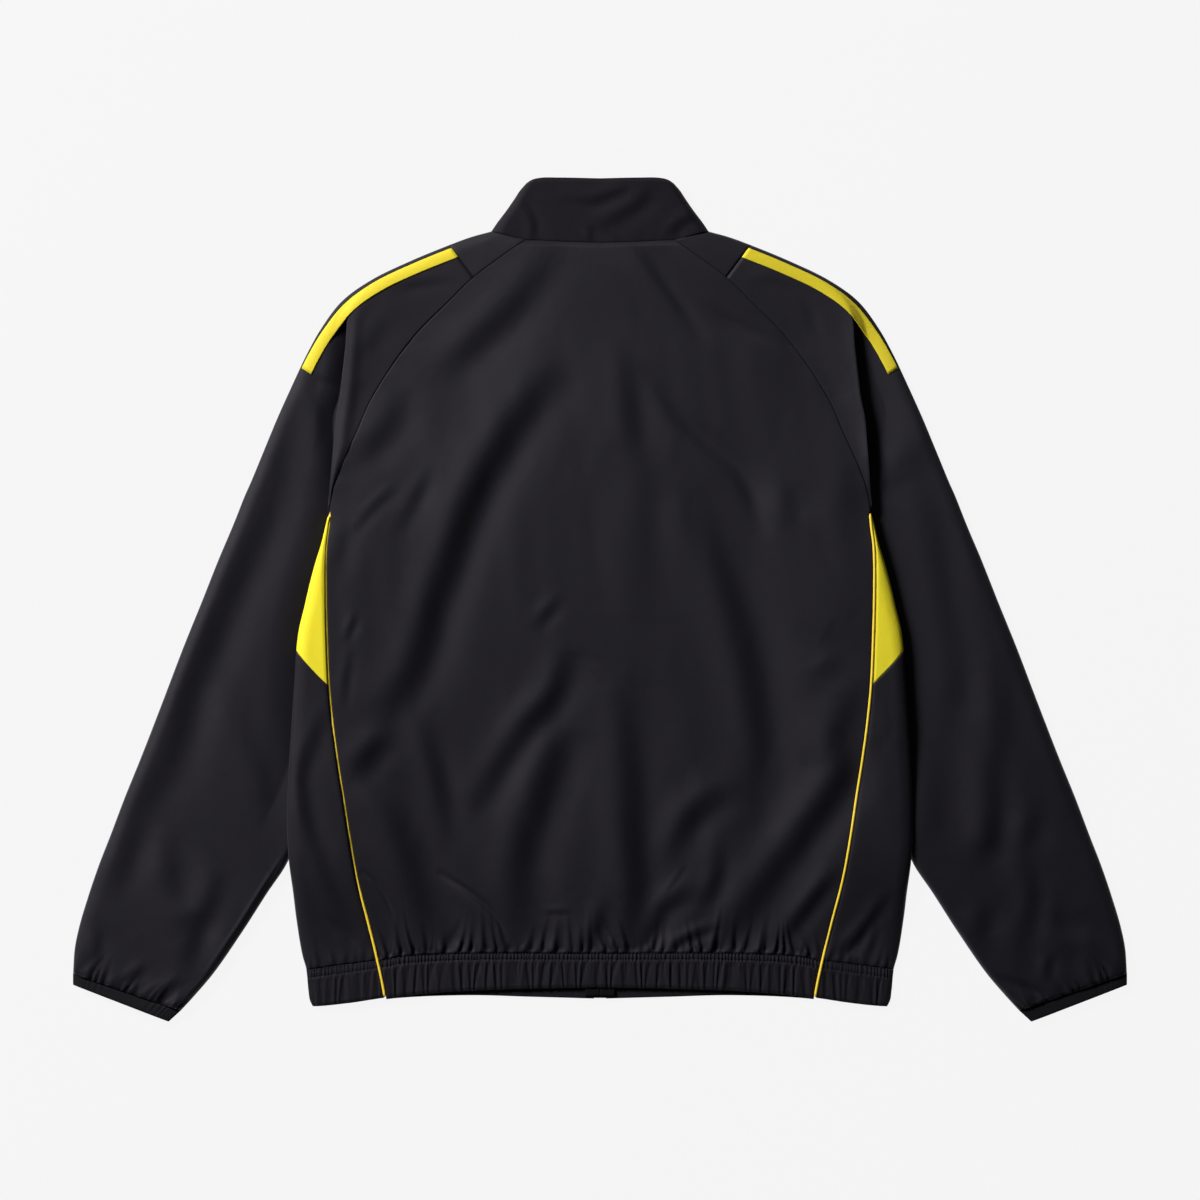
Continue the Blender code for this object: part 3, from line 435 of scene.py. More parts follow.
@dataclass(frozen=True)
class Layout:
    """The outline, the seams and the levels of the laid garment, shared by all its panels."""

    gap: float = -0.06  # a small overlap, where the surface would show through a seam
    seam: float = 0.26  # between panels of the upper layer, over other cloth
    wall: float = 0.8
    zip_half: float = 5.2
    roll: float = 12.0
    top: float = 316.0  # where the raglan seams meet the neck
    armpit: float = 78.0
    foot: float = -316.6  # where the pipings meet the hem
    side_hem_start: float = 197.1
    side_hem_span: float = 61.0
    stitch_lines: tuple[float, float] = (0.17, 0.93)  # rows of stitches on the hem's header
    fold_level: float = 3.0  # middle of a folded edge
    back_level: float = 7.6
    back_side_rise: float = 4.6
    hem_level: float = 6.0
    tuck_level: float = 5.2
    sleeve_level: float = 8.6
    sleeve_tucked: float = 4.0
    collar_level: float = 9.6
    zip_lift: float = 3.6
    piping_radius: float = 1.3
    hem_reach: float = 195.5
    neck_reach: float = 65.5
    neck_seam: SizeTable = SizeTable((
        (0.0, 313.5), (35.0, 314.5), (54.0, 315.5), (65.5, 316.0), (81.0, 320.0), (95.5, 324.0),
    ))
    front_neck_seam: SizeTable = SizeTable((
        (0.0, 298.0), (25.0, 300.0), (48.0, 306.5), (65.5, 316.0),
    ))
    collar_top: SizeTable = SizeTable((
        (0.0, 370.0), (35.0, 370.7), (53.0, 370.4), (60.0, 368.7), (65.5, 365.5),
    ))
    collar_side: SizeTable = SizeTable((
        (365.5, 65.5), (360.5, 70.5), (355.0, 74.5), (344.5, 82.0), (334.0, 89.5), (324.0, 95.5),
    ))
    side_edge: SizeTable = SizeTable((
        (78.0, 237.6), (74.5, 238.6), (48.0, 245.0), (32.0, 250.0), (11.0, 255.5), (-6.5, 259.5),
        (-25.0, 264.0), (-40.0, 266.0), (-71.0, 268.0), (-115.0, 271.0), (-159.0, 273.5),
        (-194.0, 274.5), (-229.0, 273.0), (-257.5, 269.5), (-279.5, 267.0), (-313.0, 261.5),
        (-323.5, 258.5), (-343.5, 256.3), (-352.0, 255.0), (-358.0, 252.0),
    ))
    piping: SizeTable = SizeTable((
        (78.0, 236.6), (64.5, 237.8), (47.0, 239.8), (4.0, 240.2), (-36.5, 239.2), (-74.5, 237.5),
        (-106.0, 234.5), (-144.0, 229.5), (-175.5, 224.5), (-208.0, 219.5), (-247.0, 212.5),
        (-283.0, 203.5), (-316.5, 195.5), (-345.5, 189.5), (-358.0, 188.0),
    ))
    hem_top: SizeTable = SizeTable((
        (0.0, -310.0), (137.5, -310.5), (178.0, -313.0), (195.5, -316.6), (232.5, -321.5),
        (262.0, -326.0),
    ))
    hem_line: SizeTable = SizeTable((
        (0.0, -316.5), (137.5, -317.5), (178.0, -320.5), (194.5, -323.8), (232.5, -329.5),
        (262.0, -333.8),
    ))
    back_hem: SizeTable = SizeTable((
        (0.0, -340.5), (77.5, -342.0), (127.5, -344.0), (167.0, -347.0), (189.0, -349.5),
        (218.0, -354.0), (248.0, -357.0), (262.0, -357.0),
    ))
    front_hem: SizeTable = SizeTable((
        (0.0, -350.5), (58.0, -349.0), (117.0, -347.6), (186.5, -350.2), (218.0, -354.0),
        (262.0, -357.0),
    ))
    raglan: SizeTable = SizeTable(
        tuple((row[1], row[0]) for row in SECTIONS.rows[: SECTIONS.armpit + 1])
    )

    @property
    def beside_piping(self) -> float:
        """How far from the piping's middle line the cloth ends."""
        return 0.75 * self.piping_radius

    def body_edge(self, y: Array) -> Array:
        """Half width of the back and the fronts: the raglan seam, then the gusset and piping."""
        return np.where(y > self.armpit, self.raglan.at(y), self.piping.at(y))

    def body_inset(self, y: Array, gap: float) -> Array:
        """Distance from the seam line to the edge of a back or front panel."""
        return gap / 2 + self.beside_piping * smooth(77, 72, y)

    def tuck(self, x: Array, y: Array) -> Array:
        """How far the body lies over the sleeve here, 0 to 1."""
        return smooth(208, 236, np.abs(x)) * smooth(150, 88, y) * smooth(-275, -215, y)

    def zip_rise(self, x: Array, y: Array) -> Array:
        """The lift of the closed front over the slider."""
        return self.zip_lift * smooth(278, 325, y) * smooth(48, 9, np.abs(x))

    def front_low(self, x: Array, y: Array) -> Array:
        """Underside of the layer on the surface."""
        return self.tuck_level * self.tuck(x, y) + self.zip_rise(x, y)

    def base_top(self, x: Array, y: Array) -> Array:
        """Outer face of the back layer without its creases.

        Args:
            x: Places across the garment.
            y: Places along it.

        Returns:
            Heights in mm.
        """
        away = ((np.abs(x) - 237) / 26) ** 2 + ((y - 78) / 30) ** 2
        side = smooth(120, 225, np.abs(x)) * smooth(190, 60, y) * smooth(-310, -215, y)
        base = self.back_level + (self.back_side_rise + 2.4 * smooth(0, 60, x)) * side
        base = base + (self.collar_level - self.back_level) * smooth(235, 305, y)
        base = base + (self.hem_level - self.back_level) * smooth(-240, -308, y)
        return base - 3.2 * np.exp(-away)

    def body_top(self, x: Array, y: Array) -> Array:
        """Outer face of the back layer with its creases, which calm at the neck and hem seams.

        Args:
            x: Places across the garment.
            y: Places along it.

        Returns:
            Heights in mm.
        """
        calm = smooth(-314, -300, y) * smooth(316, 306, y)
        low = self.front_low(x, y) + 1.6 + 2 * self.wall
        height = creased(BACK_CREASES, x, y) + self.lie(x, y, 401)
        return np.maximum(self.base_top(x, y) + height * calm, low)

    def lie(self, x: Array, y: Array, seed: int) -> Array:
        """The uneven lie of thin cloth between its named creases, mostly in long shallow waves.

        Args:
            x: Places across the garment.
            y: Places along it.
            seed: Which of the waves.

        Returns:
            Heights in mm.
        """
        across, down = x + 0.32 * y, y - 0.2 * x
        bent, size = 0.7 * wander(down / 120.0, seed + 1), 0.7 + 0.5 * wander(down / 75.0, seed + 2)
        broad = wander(across / 33.0 + bent, seed) * size
        bent, size = 1.1 * wander(down / 60.0, seed + 4), wander(down / 44.0, seed + 5)
        fine = wander(across / 13.0 + bent, seed + 3) * size
        return 0.55 * broad + 0.15 * fine

    def hem_y(self, line: float, x: Array, foot: SizeTable) -> Array:
        """A cross line of the hem.

        Args:
            line: 0 for the header's top, 1 for its foot, 2 for the edge of the band.
            x: Places across.
            foot: Edge of this layer's band.

        Returns:
            Places along the garment.
        """
        marks = (self.hem_top.at(x) - self.gap / 2, self.hem_line.at(x), foot.at(x))
        k = min(int(line), 1)
        return marks[k] + (marks[k + 1] - marks[k]) * (line - k)


LAYOUT = Layout()


def gather_wave(turns: Array, round_off: float = 0.5) -> Array:
    """A gather's section: a slow rise, then a steep fall on the side away from the light.

    Args:
        turns: Angles along the seam.
        round_off: How uneven the two sides are, 0 to 0.9.

    Returns:
        Heights from -1 to 1.
    """
    return np.sin(turns - round_off * np.sin(turns))


@dataclass(frozen=True)
class Gathers:
    """Uneven gathers that run out from an elastic seam into the cloth."""

    pitch: float
    height: float
    reach: float
    seed: int

    def rise(self, along: Array, away: Array) -> Array:
        """Height of the gathers.

        Args:
            along: Places along the seam.
            away: Distances from it.

        Returns:
            Heights in mm.
        """
        lean = away * 0.45 * wander(along / (2.4 * self.pitch), self.seed + 1)
        place = (along + lean) / self.pitch
        turns = 2 * np.pi * (place + 0.42 * wander(place / 2.2, self.seed))
        size = 1.0 + 0.35 * wander(place / 1.6, self.seed + 2)
        reach = self.reach * (0.6 + 0.7 * np.abs(wander(place / 1.3, self.seed + 3)))
        fade = np.exp(-((np.maximum(away, 0.0) / reach) ** 1.5)) * smooth(-0.5, 3.5, away)
        return self.height * size * (gather_wave(turns, 0.6) - 0.2) * fade


# ---------------------------------------------------------------- cloth


def grid_normals(points: Array, closed: Array) -> Array:
    """Unit normals of a grid of points.

    Args:
        points: Rows and columns of points.
        closed: Whether each row's two ends meet.

    Returns:
        A normal at each point, on the side of columns crossed with rows.
    """
    down, across = np.gradient(points, axis=0), np.gradient(points, axis=1)
    ends = (points[:, 1] - points[:, -2]) / 2
    across[closed, 0], across[closed, -1] = ends[closed], ends[closed]
    out = np.cross(across, down)
    out /= np.maximum(np.linalg.norm(out, axis=2, keepdims=True), 1e-12)
    both = out[:, 0] + out[:, -1]
    both /= np.maximum(np.linalg.norm(both, axis=1, keepdims=True), 1e-12)
    out[closed, 0], out[closed, -1] = both[closed], both[closed]
    return out


def facing(points: Array, up: bool) -> Array:
    """Orders a grid's columns so that its faces point outwards.

    Args:
        points: Rows and columns of points; the first columns lie on the layer that up speaks of.
        up: Whether that layer's outer face looks up.

    Returns:
        The grid, its columns turned round if they had to be.
    """
    part = points[:, : max(2, points.shape[1] // 4)]
    across, down = np.diff(part, axis=1)[:-1], np.diff(part, axis=0)[:, :-1]
    mean = np.cross(across, down)[..., 2].mean()
    return points if (mean > 0) == up else points[:, ::-1].copy()


def placed(name: str, data: bpy.types.ID) -> bpy.types.Object:
    """A new object of the scene with this data.

    Args:
        name: Its name.
        data: Its mesh, lamp or camera.

    Returns:
        The object.
    """
    obj = bpy.data.objects.new(name, data)
    bpy.context.scene.collection.objects.link(obj)
    return obj


def built(name: str, bm: bmesh.types.BMesh) -> bpy.types.Object:
    """A new object of the scene with this bmesh, which is used up.

    Args:
        name: Name of the piece.
        bm: Its mesh as it was built.

    Returns:
        The new object.
    """
    mesh = bpy.data.meshes.new(name)
    bm.to_mesh(mesh)
    bm.free()
    return placed(name, mesh)


def grid_mesh(name: str, points: Array, closed: Array | None = None) -> bpy.types.Object:
    """A mesh on a grid of points, with a map of the cloth in metres.

    Args:
        name: Name of the piece.
        points: Rows and columns of points in mm.
        closed: Whether each row's two ends meet and are welded.

    Returns:
        The new object.
    """
    rows, cols = points.shape[:2]
    mesh = bpy.data.meshes.new(name)
    bm = bmesh.new()
    bmesh.ops.create_grid(bm, x_segments=cols - 1, y_segments=rows - 1, size=0.5)
    bm.to_mesh(mesh)
    bm.free()
    mesh.vertices.foreach_set("co", (points * MM).astype(np.float32).ravel())
    steps_u = np.linalg.norm(np.diff(points, axis=1), axis=2).mean(axis=0)
    steps_v = np.linalg.norm(np.diff(points, axis=0), axis=2).mean(axis=1)
    u, v = np.concatenate(([0.0], steps_u.cumsum())), np.concatenate(([0.0], steps_v.cumsum()))
    corner = np.empty(len(mesh.loops), dtype=np.int32)
    mesh.loops.foreach_get("vertex_index", corner)
    flat = np.stack((u[corner % cols], v[corner // cols]), axis=1) * MM
    mesh.uv_layers.new(name="cloth").uv.foreach_set("vector", flat.astype(np.float32).ravel())
    if closed is not None and closed.any():
        bm = bmesh.new()
        bm.from_mesh(mesh)
        bm.verts.ensure_lookup_table()
        ends = [bm.verts[r * cols + c] for r in np.flatnonzero(closed) for c in (0, cols - 1)]
        bmesh.ops.remove_doubles(bm, verts=ends, dist=1e-6)
        bm.to_mesh(mesh)
        bm.free()
    mesh.shade_smooth()
    return placed(name, mesh)


@dataclass
class ClothPiece:
    """One sewn panel: a fine grid on its solid's form, with a cloth wall inside it."""

    name: str
    points: Array
    up: bool
    finish: "Finish"
    nodes: tuple[str, ...]
    slot: str
    flat: tuple[float, float]
    held: Held
    area: float | None = None
    closed: Array | None = None
    wall: float = LAYOUT.wall

    def build(self) -> bpy.types.Object:
        """Returns:
            The finished piece.
        """
        points = facing(self.points, self.up)
        obj = grid_mesh(self.name, points, self.closed)
        wall = obj.modifiers.new("wall", "SOLIDIFY")
        wall.thickness, wall.offset, wall.use_rim = self.wall * MM, -1.0, True
        self.finish.dress(obj)
        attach(obj, "jacket")
        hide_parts(*self.nodes)
        LOG.info("%s: %d x %d points", self.name, *points.shape[:2])
        return obj


def seam_dip(away: Array, depth: float = 0.8, width: float = 1.5) -> Array:
    """How far cloth is drawn down beside a seam.

    Args:
        away: Distances from the seam.
        depth: The dip on the seam line.
        width: How far it runs out.

    Returns:
        Depths in mm, to be taken off the height.
    """
    return depth * np.exp(-((np.maximum(away, 0.0) / width) ** 2))


def spread(count: int, ends: float = 0.35) -> Array:
    """Shares from 0 to 1 that crowd towards both ends.

    Args:
        count: How many.
        ends: How strongly they crowd, 0 to 1.

    Returns:
        The shares.
    """
    t = np.linspace(0.0, 1.0, count)
    return t - ends * np.sin(2 * np.pi * t) / (2 * np.pi)


# ---------------------------------------------------------------- body


@dataclass
class BackPanel:
    """The back, from the collar seam to the elastic hem."""

    finish: "Finish"
    rows: int = 166
    columns: int = 282
    hem_gathers: Gathers = Gathers(12.0, 1.9, 17.0, 11)
    small_gathers: Gathers = Gathers(6.4, 0.95, 7.5, 23)
    layout: Layout = LAYOUT

    def surface(self) -> Array:
        """Points of the outer face in mm, from the neck down.

        Returns:
            Rows and columns of points.
        """
        lay = self.layout
        down = np.linspace(0.0, 1.0, self.rows)
        down = 0.45 * down + 0.55 * np.sin(down * np.pi / 2)  # the rows crowd towards the hem
        y = lay.top - down[:, None] * (lay.top - lay.foot)
        s = (2.0 * spread(self.columns, 0.30) - 1.0)[None, :]
        edge = lay.body_edge(y) - lay.body_inset(y, lay.seam)
        x = s * edge
        neck = lay.neck_seam.at(np.abs(s) * lay.neck_reach) - lay.top - lay.seam / 2
        foot = lay.hem_top.at(np.abs(s) * lay.hem_reach) - lay.foot - 0.1
        y = y + neck * smooth(250, lay.top, y) + foot * smooth(-220, lay.foot, y)
        z = lay.body_top(x, y)
        above = y - lay.hem_top.at(np.abs(x))
        z += self.hem_gathers.rise(x, above) + self.small_gathers.rise(x, above)
        below = lay.neck_seam.at(np.abs(x)) - y
        z -= seam_dip(above, 0.3, 1.6) + seam_dip(below, 0.14, 1.0)
        z -= seam_dip(edge - np.abs(x), 0.10, 0.9)
        beside = np.exp(-(((edge - np.abs(x)) / 9.0) ** 2)) * smooth(78, 110, y)
        z += 0.30 * wander(y / 9.0, 31) * beside
        return np.stack(np.broadcast_arrays(x, y, z), axis=2)

    def build(self) -> bpy.types.Object:
        """Builds the panel.

        Returns:
            The finished piece.
        """
        return ClothPiece(
            "back_cloth", self.surface(), True, self.finish, ("back",), "shell",
            (0.500, 0.655), Held.LAID, 0.262,
        ).build()


@dataclass
class FrontPanel:
    """One closed front, which lies on the surface under the back."""

    side: Side
    finish: "Finish"
    rows: int = 150
    columns: int = 56
    hem_gathers: Gathers = Gathers(9.0, 0.55, 13.0, 51)
    layout: Layout = LAYOUT

    def surface(self) -> Array:
        """Points of the outer face, which looks down.

        Returns:
            Rows and columns of points in mm.
        """
        lay, sign = self.layout, self.side.value
        y = lay.top - np.linspace(0.0, 1.0, self.rows)[:, None] * (lay.top - lay.foot)
        s = spread(self.columns)[None, :]
        edge = lay.body_edge(y) - lay.body_inset(y, lay.gap)
        x = lay.zip_half + s * (edge - lay.zip_half)
        neck = lay.front_neck_seam.at(s * lay.neck_reach) - lay.top - lay.gap / 2
        foot = lay.hem_top.at(s * lay.hem_reach) - lay.foot + lay.gap / 2
        y = y + neck * smooth(215, lay.top, y) + foot * smooth(-220, lay.foot, y)
        z = lay.front_low(x, y)
        above = y - lay.hem_top.at(x)
        calm = smooth(250, 200, y) * smooth(0, 18, x - lay.zip_half) * (1 - lay.tuck(x, y))
        lift = creased(FRONT_CREASES, sign * x, y) * calm
        lift += np.abs(self.hem_gathers.rise(x, above)) + seam_dip(above, 0.7, 1.8)
        lift += seam_dip(edge - x, 0.7, 1.6) + seam_dip(x - lay.zip_half, 0.35, 1.2)
        z = np.minimum(z + lift, lay.front_low(x, y) + 2.2)
        return np.stack(np.broadcast_arrays(sign * x, y, z), axis=2)

    def build(self) -> bpy.types.Object:
        """Builds the panel.

        Returns:
            The finished piece.
        """
        label = self.side.label
        return ClothPiece(
            f"front_cloth_{label}", self.surface(), False, self.finish, (f"front_{label}",),
            "shell", (0.250, 0.650), Held.LAID, 0.124,
        ).build()


@dataclass
class SidePanel:
    """One side of the body, which rolls from the back round the side fold to the front."""

    side: Side
    shell: "Finish"
    bright: "Finish"
    gusset_rows: int = 60
    side_rows: int = 120
    upper_columns: int = 34
    lower_columns: int = 20
    gusset_top: float = 73.0
    gusset_foot: float = -74.5
    gusset_slant: float = 30.0
    hem_gathers: Gathers = Gathers(8.5, 1.1, 11.0, 71)
    layout: Layout = LAYOUT

    def section(self, share: Array, x_seam: Array, x_edge: Array, y: Array, upper: bool) -> Array:
        """Heights of one layer of the side.

        Args:
            share: Shares of the way from the seam to the side fold.
            x_seam: Places of the seam.
            x_edge: Places of the fold.
            y: Places along the garment.
            upper: Whether this is the layer with the back.

        Returns:
            Points of the layer.
        """
        lay, sign = self.layout, self.side.value
        x = x_seam + share * (x_edge - x_seam)
        reach = np.minimum(lay.roll, 0.8 * (x_edge - x_seam))
        under = lay.front_low(x_edge - 1.0, y)
        inner = np.minimum(x, x_edge - 0.5 * reach)
        high = lay.base_top(inner, y) + creased(BACK_CREASES + SIDE_CREASES, sign * inner, y)
        high = high + lay.lie(sign * inner, y, 401)
        mid = under + 0.42 * (high - under)
        above = y - lay.hem_top.at(np.clip(x, 0.0, 262.0))
        gathers = self.hem_gathers.rise(sign * x, above)
        if upper:
            z = mid + (high - mid) * cap(x_edge - x, reach)
            z = z + gathers * cap(x_edge - x, 8.0)
            z = z - seam_dip(above, 0.9, 2.0) - seam_dip(x - x_seam, 0.8, 1.5)
        else:
            z = mid + (lay.front_low(x, y) - mid) * cap(x_edge - x, 0.7 * reach)
            z = z + np.abs(gathers) * 0.5
            z = z + seam_dip(above, 0.6, 1.8) + seam_dip(x - x_seam, 0.6, 1.5)
        return np.stack(np.broadcast_arrays(sign * x, y, z), axis=2)

    def loop(self, x_seam: Callable[[Array], Array], y_at: Callable[[Array], Array]) -> Array:
        """Both layers, from the back seam round the fold to the front seam.

        Args:
            x_seam: The seam at a place along the garment.
            y_at: Place along the garment for shares across.

        Returns:
            Points of the side.
        """
        lay = self.layout
        out = []
        for upper, count in ((True, self.upper_columns), (False, self.lower_columns)):
            s = np.sin(np.linspace(0.0, np.pi / 2, count))[None, :]
            s = 0.5 * s + 0.5 * np.linspace(0.0, 1.0, count)[None, :]
            y = y_at(s)
            points = self.section(s, x_seam(y), lay.side_edge.at(y), y, upper)
            out.append(points if upper else points[:, -2::-1])
        return np.concatenate(out, axis=1)

    def build(self) -> list[bpy.types.Object]:
        """Builds the bright gusset and the dark side panel.

        Returns:
            The finished pieces.
        """
        lay, label = self.layout, self.side.label
        top, foot, slant = self.gusset_top, self.gusset_foot, self.gusset_slant
        start, span = lay.side_hem_start, lay.side_hem_span
        r = np.linspace(0.0, 1.0, self.gusset_rows)[:, None]
        gusset = self.loop(
            lambda y: np.minimum(lay.piping.at(y) + lay.beside_piping, lay.side_edge.at(y) - 1.8),
            lambda s: top + r * (foot + slant * s + lay.gap - top),
        )
        t = np.linspace(0.0, 1.0, self.side_rows)[:, None]
        panel = self.loop(
            lambda y: lay.piping.at(y) + lay.beside_piping,
            lambda s: (foot + slant * s - lay.gap) * (1 - t)
            + t * (lay.hem_top.at(start + span * s) + lay.gap / 2),
        )
        return [
            ClothPiece(
                f"gusset_cloth_{label}", gusset, True, self.bright, (f"gusset_{label}",), "gusset",
                (0.070, 0.150), Held.FOLDED, 0.0058,
            ).build(),
            ClothPiece(
                f"side_cloth_{label}", panel, True, self.shell, (f"side_{label}",), "shell",
                (0.140, 0.290), Held.FOLDED, 0.0270,
            ).build(),
        ]


# ---------------------------------------------------------------- sleeves


@dataclass
class Sleeve:
    """One raglan sleeve: the yoke by the neck, the sleeve, and the bright tape on its shoulder."""

    side: Side
    shell: "Finish"
    tape_finish: "Finish"
    open_rows: int = 84
    tube_rows: int = 130
    yoke_rows: int = 22
    upper_columns: int = 116
    pleat_columns: int = 46
    lower_columns: int = 32
    tape_columns: int = 14
    tape_width: float = 10.0
    inner_face: float = 4.0  # height that parts the two layers where they are sewn to a yoke
    cuff_gathers: Gathers = Gathers(9.0, 1.6, 13.0, 91)
    fine_gathers: Gathers = Gathers(5.0, 0.7, 6.0, 97)
    layout: Layout = LAYOUT
    sections: SleeveSections = SECTIONS

    @property
    def pleat_share(self) -> float:
        """How much deeper than the table the shoulder pleat falls on this side."""
        return 1.25 if self.side is Side.LEFT else 1.3

    @property
    def pleat_reach(self) -> float:
        """How far the cloth under the pleat takes to rise again."""
        return 20.0 if self.side is Side.LEFT else 60.0

    def middle(self, seam_y: Array) -> Array:
        """Height of the inner fold, which dives under the body below the armpit."""
        return 2.2 + 1.7 * smooth(52, 78, seam_y)

    def pleated(self, row: Array, width: Array, count: int) -> Array:
        """Distances of the upper layer's columns, which turn back under at the shoulder pleat.

        Args:
            row: The sections, one column for each of their sizes.
            width: Widths of the sections.
            count: How many columns.

        Returns:
            Distances from the seam.
        """
        first = self.pleat_columns
        fold_at = np.minimum(row[:, 4:5], 0.95) * width
        under = 2.4 * smooth(0.3, 3.0, row[:, 5:6]) * smooth(3.0, 14.0, fold_at)
        before = (1.0 - (1.0 - np.linspace(0, 1, first)) ** 1.25)[None, :] * fold_at
        after = 0.3 - under + spread(count - first, 0.45)[None, :] * (width - fold_at - 0.3 + under)
        return np.concatenate((before, fold_at + after), axis=1)

    def upper_height(
        self, row: Array, tube: Array, x: Array, y: Array, away: Array, width: Array
    ) -> Array:
        """Height of the outer face of the upper layer.

        Args:
            row: The sections, one column for each of their sizes.
            tube: 1 where the sleeve is closed, 0 where it is sewn to the body.
            x: Places across, with the garment's own sign.
            y: Places along.
            away: Distances from the seam or inner fold.
            width: Widths of the sections.

        Returns:
            Heights in mm.
        """
        lay = self.layout
        seam_x, seam_y, pleat, depth = row[:, 0:1], row[:, 1:2], row[:, 4:5], row[:, 5:6]
        own = lay.sleeve_level + creased(SLEEVE_CREASES, x, y) + lay.lie(x, y, 431)
        left = self.side is Side.LEFT
        clear = 40.0 * smooth(-130, -260, y) if left else 90.0 * smooth(-70, -250, y)
        beyond = np.where(y > -240.0, np.maximum(np.abs(x) - lay.side_edge.at(y), clear), 90.0)
        if left:
            low = own - (own - lay.sleeve_tucked) * np.clip(1.0 - beyond / 28.0, 0.0, 1.0) ** 2
        else:
            low = own - (own - lay.sleeve_tucked + 1.3) * smooth(78.0, 6.0, beyond)
        mid = self.middle(seam_y)
        closed = mid + (low - mid) * cap(away, 6.0)
        seam_level = lay.body_top(self.side.value * seam_x, seam_y)
        fold_at = np.minimum(pleat, 0.95) * width
        reach = np.maximum(28.0, fold_at)
        t = np.clip(away / reach, 0.0, 1.0)
        sewn = seam_level + (own - seam_level) * t * t * (3 - 2 * t)
        past = away - fold_at
        deep = depth * self.pleat_share
        beneath = (np.arange(away.shape[1]) >= self.pleat_columns)[None, :]
        if left:
            fall = deep * beneath * np.clip(1.0 - past / self.pleat_reach, 0.0, 1.0) ** 2
            ridge = np.minimum(9.0, 0.55 * fold_at)
            rise = 0.34 * depth * np.exp(-(((past + ridge) / (0.7 * ridge + 0.5)) ** 2))
            rise = rise * (1 - beneath)
        else:
            fall = deep * beneath * smooth(self.pleat_reach, 6.0, past)
            rise = 0.75 * depth * np.clip(away / (fold_at + 0.1), 0, 1) ** 2
            rise = rise * (1 - beneath) * smooth(1, 12, fold_at)
        rise = rise - 0.08 * depth * np.exp(-((past / 0.9) ** 2)) * (1 - beneath)
        sewn = sewn - fall + rise - seam_dip(away, 0.12, 0.9)
        sewn = sewn + (low - sewn) * beneath * smooth(116, 86, seam_y)
        z = np.maximum(closed * tube + sewn * (1 - tube), 2.2)
        return lay.fold_level + (z - lay.fold_level) * cap(width - away, lay.roll)

    def lower_height(
        self, row: Array, tube: Array, x: Array, y: Array, away: Array, width: Array
    ) -> Array:
        """Height of the outer face of the layer on the surface.

        Args:
            row: The sections, one column for each of their sizes.
            tube: 1 where the sleeve is closed, 0 where it is sewn to the body.
            x: Places across, with the garment's own sign.
            y: Places along.
            away: Distances from the seam or inner fold.
            width: Widths of the sections.

        Returns:
            Heights in mm.
        """
        lay = self.layout
        seam_x, seam_y = row[:, 0:1], row[:, 1:2]
        tuck = lay.tuck(seam_x, seam_y)
        sewn = lay.tuck_level * tuck * smooth(26 - 20 * tuck, 0, away)
        sewn = sewn + lay.zip_rise(x, y) * smooth(20, 0, away)
        low = sewn * (1 - tube) + creased(FRONT_CREASES, x, y) * smooth(0, 30, away)
        z = lay.fold_level + (low - lay.fold_level) * cap(width - away, 0.7 * lay.roll)
        mid = self.middle(seam_y)
        return np.where(tube > 0.5, mid + (z - mid) * cap(away, 7.0), z)

    def shape(self, place: Array, tube: Array) -> Array:
        """Both layers of the sleeve at these distances down it.

        Args:
            place: Distances down the sleeve.
            tube: 1 where the sleeve is closed, 0 where it is sewn to the body.

        Returns:
            Points from the upper seam round to the lower one.
        """
        sign = self.side.value
        row = self.sections.at(place)
        seam, edge = row[:, 0:2], row[:, 2:4]
        whole = np.linalg.norm(edge - seam, axis=1)[:, None]
        along = (edge - seam) / whole
        tube = tube[:, None]
        foot = (self.sections.marks()[-1] - place)[:, None]
        layers = []
        for upper, count in ((True, self.upper_columns), (False, self.lower_columns)):
            inset = (self.layout.seam if upper else self.layout.gap) / 2 * (1 - tube)
            width = whole - inset
            away = spread(count, 0.45)[None, :] * width
            if upper:
                away = self.pleated(row, width, count)
            x = sign * (seam[:, 0:1] + along[:, 0:1] * (away + inset))
            y = seam[:, 1:2] + along[:, 1:2] * (away + inset)
            height = self.upper_height if upper else self.lower_height
            z = height(row, tube, x, y, away, width)
            flow = self.cuff_gathers.rise(away, foot) + self.fine_gathers.rise(away, foot)
            flow = (flow - seam_dip(foot, 1.1, 2.2)) * cap(away, 6.0) * cap(width - away, 8.0)
            z = z + flow if upper else np.maximum(z - flow * 0.5, 0.0)
            points = np.stack(np.broadcast_arrays(x, y, z), axis=2)
            layers.append(points if upper else points[:, -2::-1])
        return np.concatenate(layers, axis=1)

    def sunk(self, points: Array, away: Array) -> Array:
        """Draws both layers together beside the seam between the yoke and the sleeve.

        Args:
            points: Rows and columns of points.
            away: Distance of each row from the seam.

        Returns:
            The points.
        """
        sign = np.sign(points[..., 2] - self.inner_face)
        points[..., 2] -= sign * seam_dip(away, 0.22, 1.0)[:, None]
        return points

    def trim(self, points: Array, first: float, last: float) -> Array:
        """Draws the two end rows in to leave their seam gaps on the upper layer.

        Args:
            points: Rows and columns of points.
            first: How far the first row moves towards the second.
            last: How far the last row moves towards the one before.

        Returns:
            The points.
        """
        for index, towards, amount in ((0, 1, first), (-1, -2, last)):
            step = points[towards] - points[index]
            step[:, 2] = 0.0
            step /= np.maximum(np.linalg.norm(step, axis=1, keepdims=True), 1e-6)
            share = np.arange(points.shape[1]) / self.upper_columns
            wanted = np.where(share < 1.0, amount * smooth(0.97, 0.93, share), self.layout.gap)
            points[index] += step * wanted[:, None]
        return points

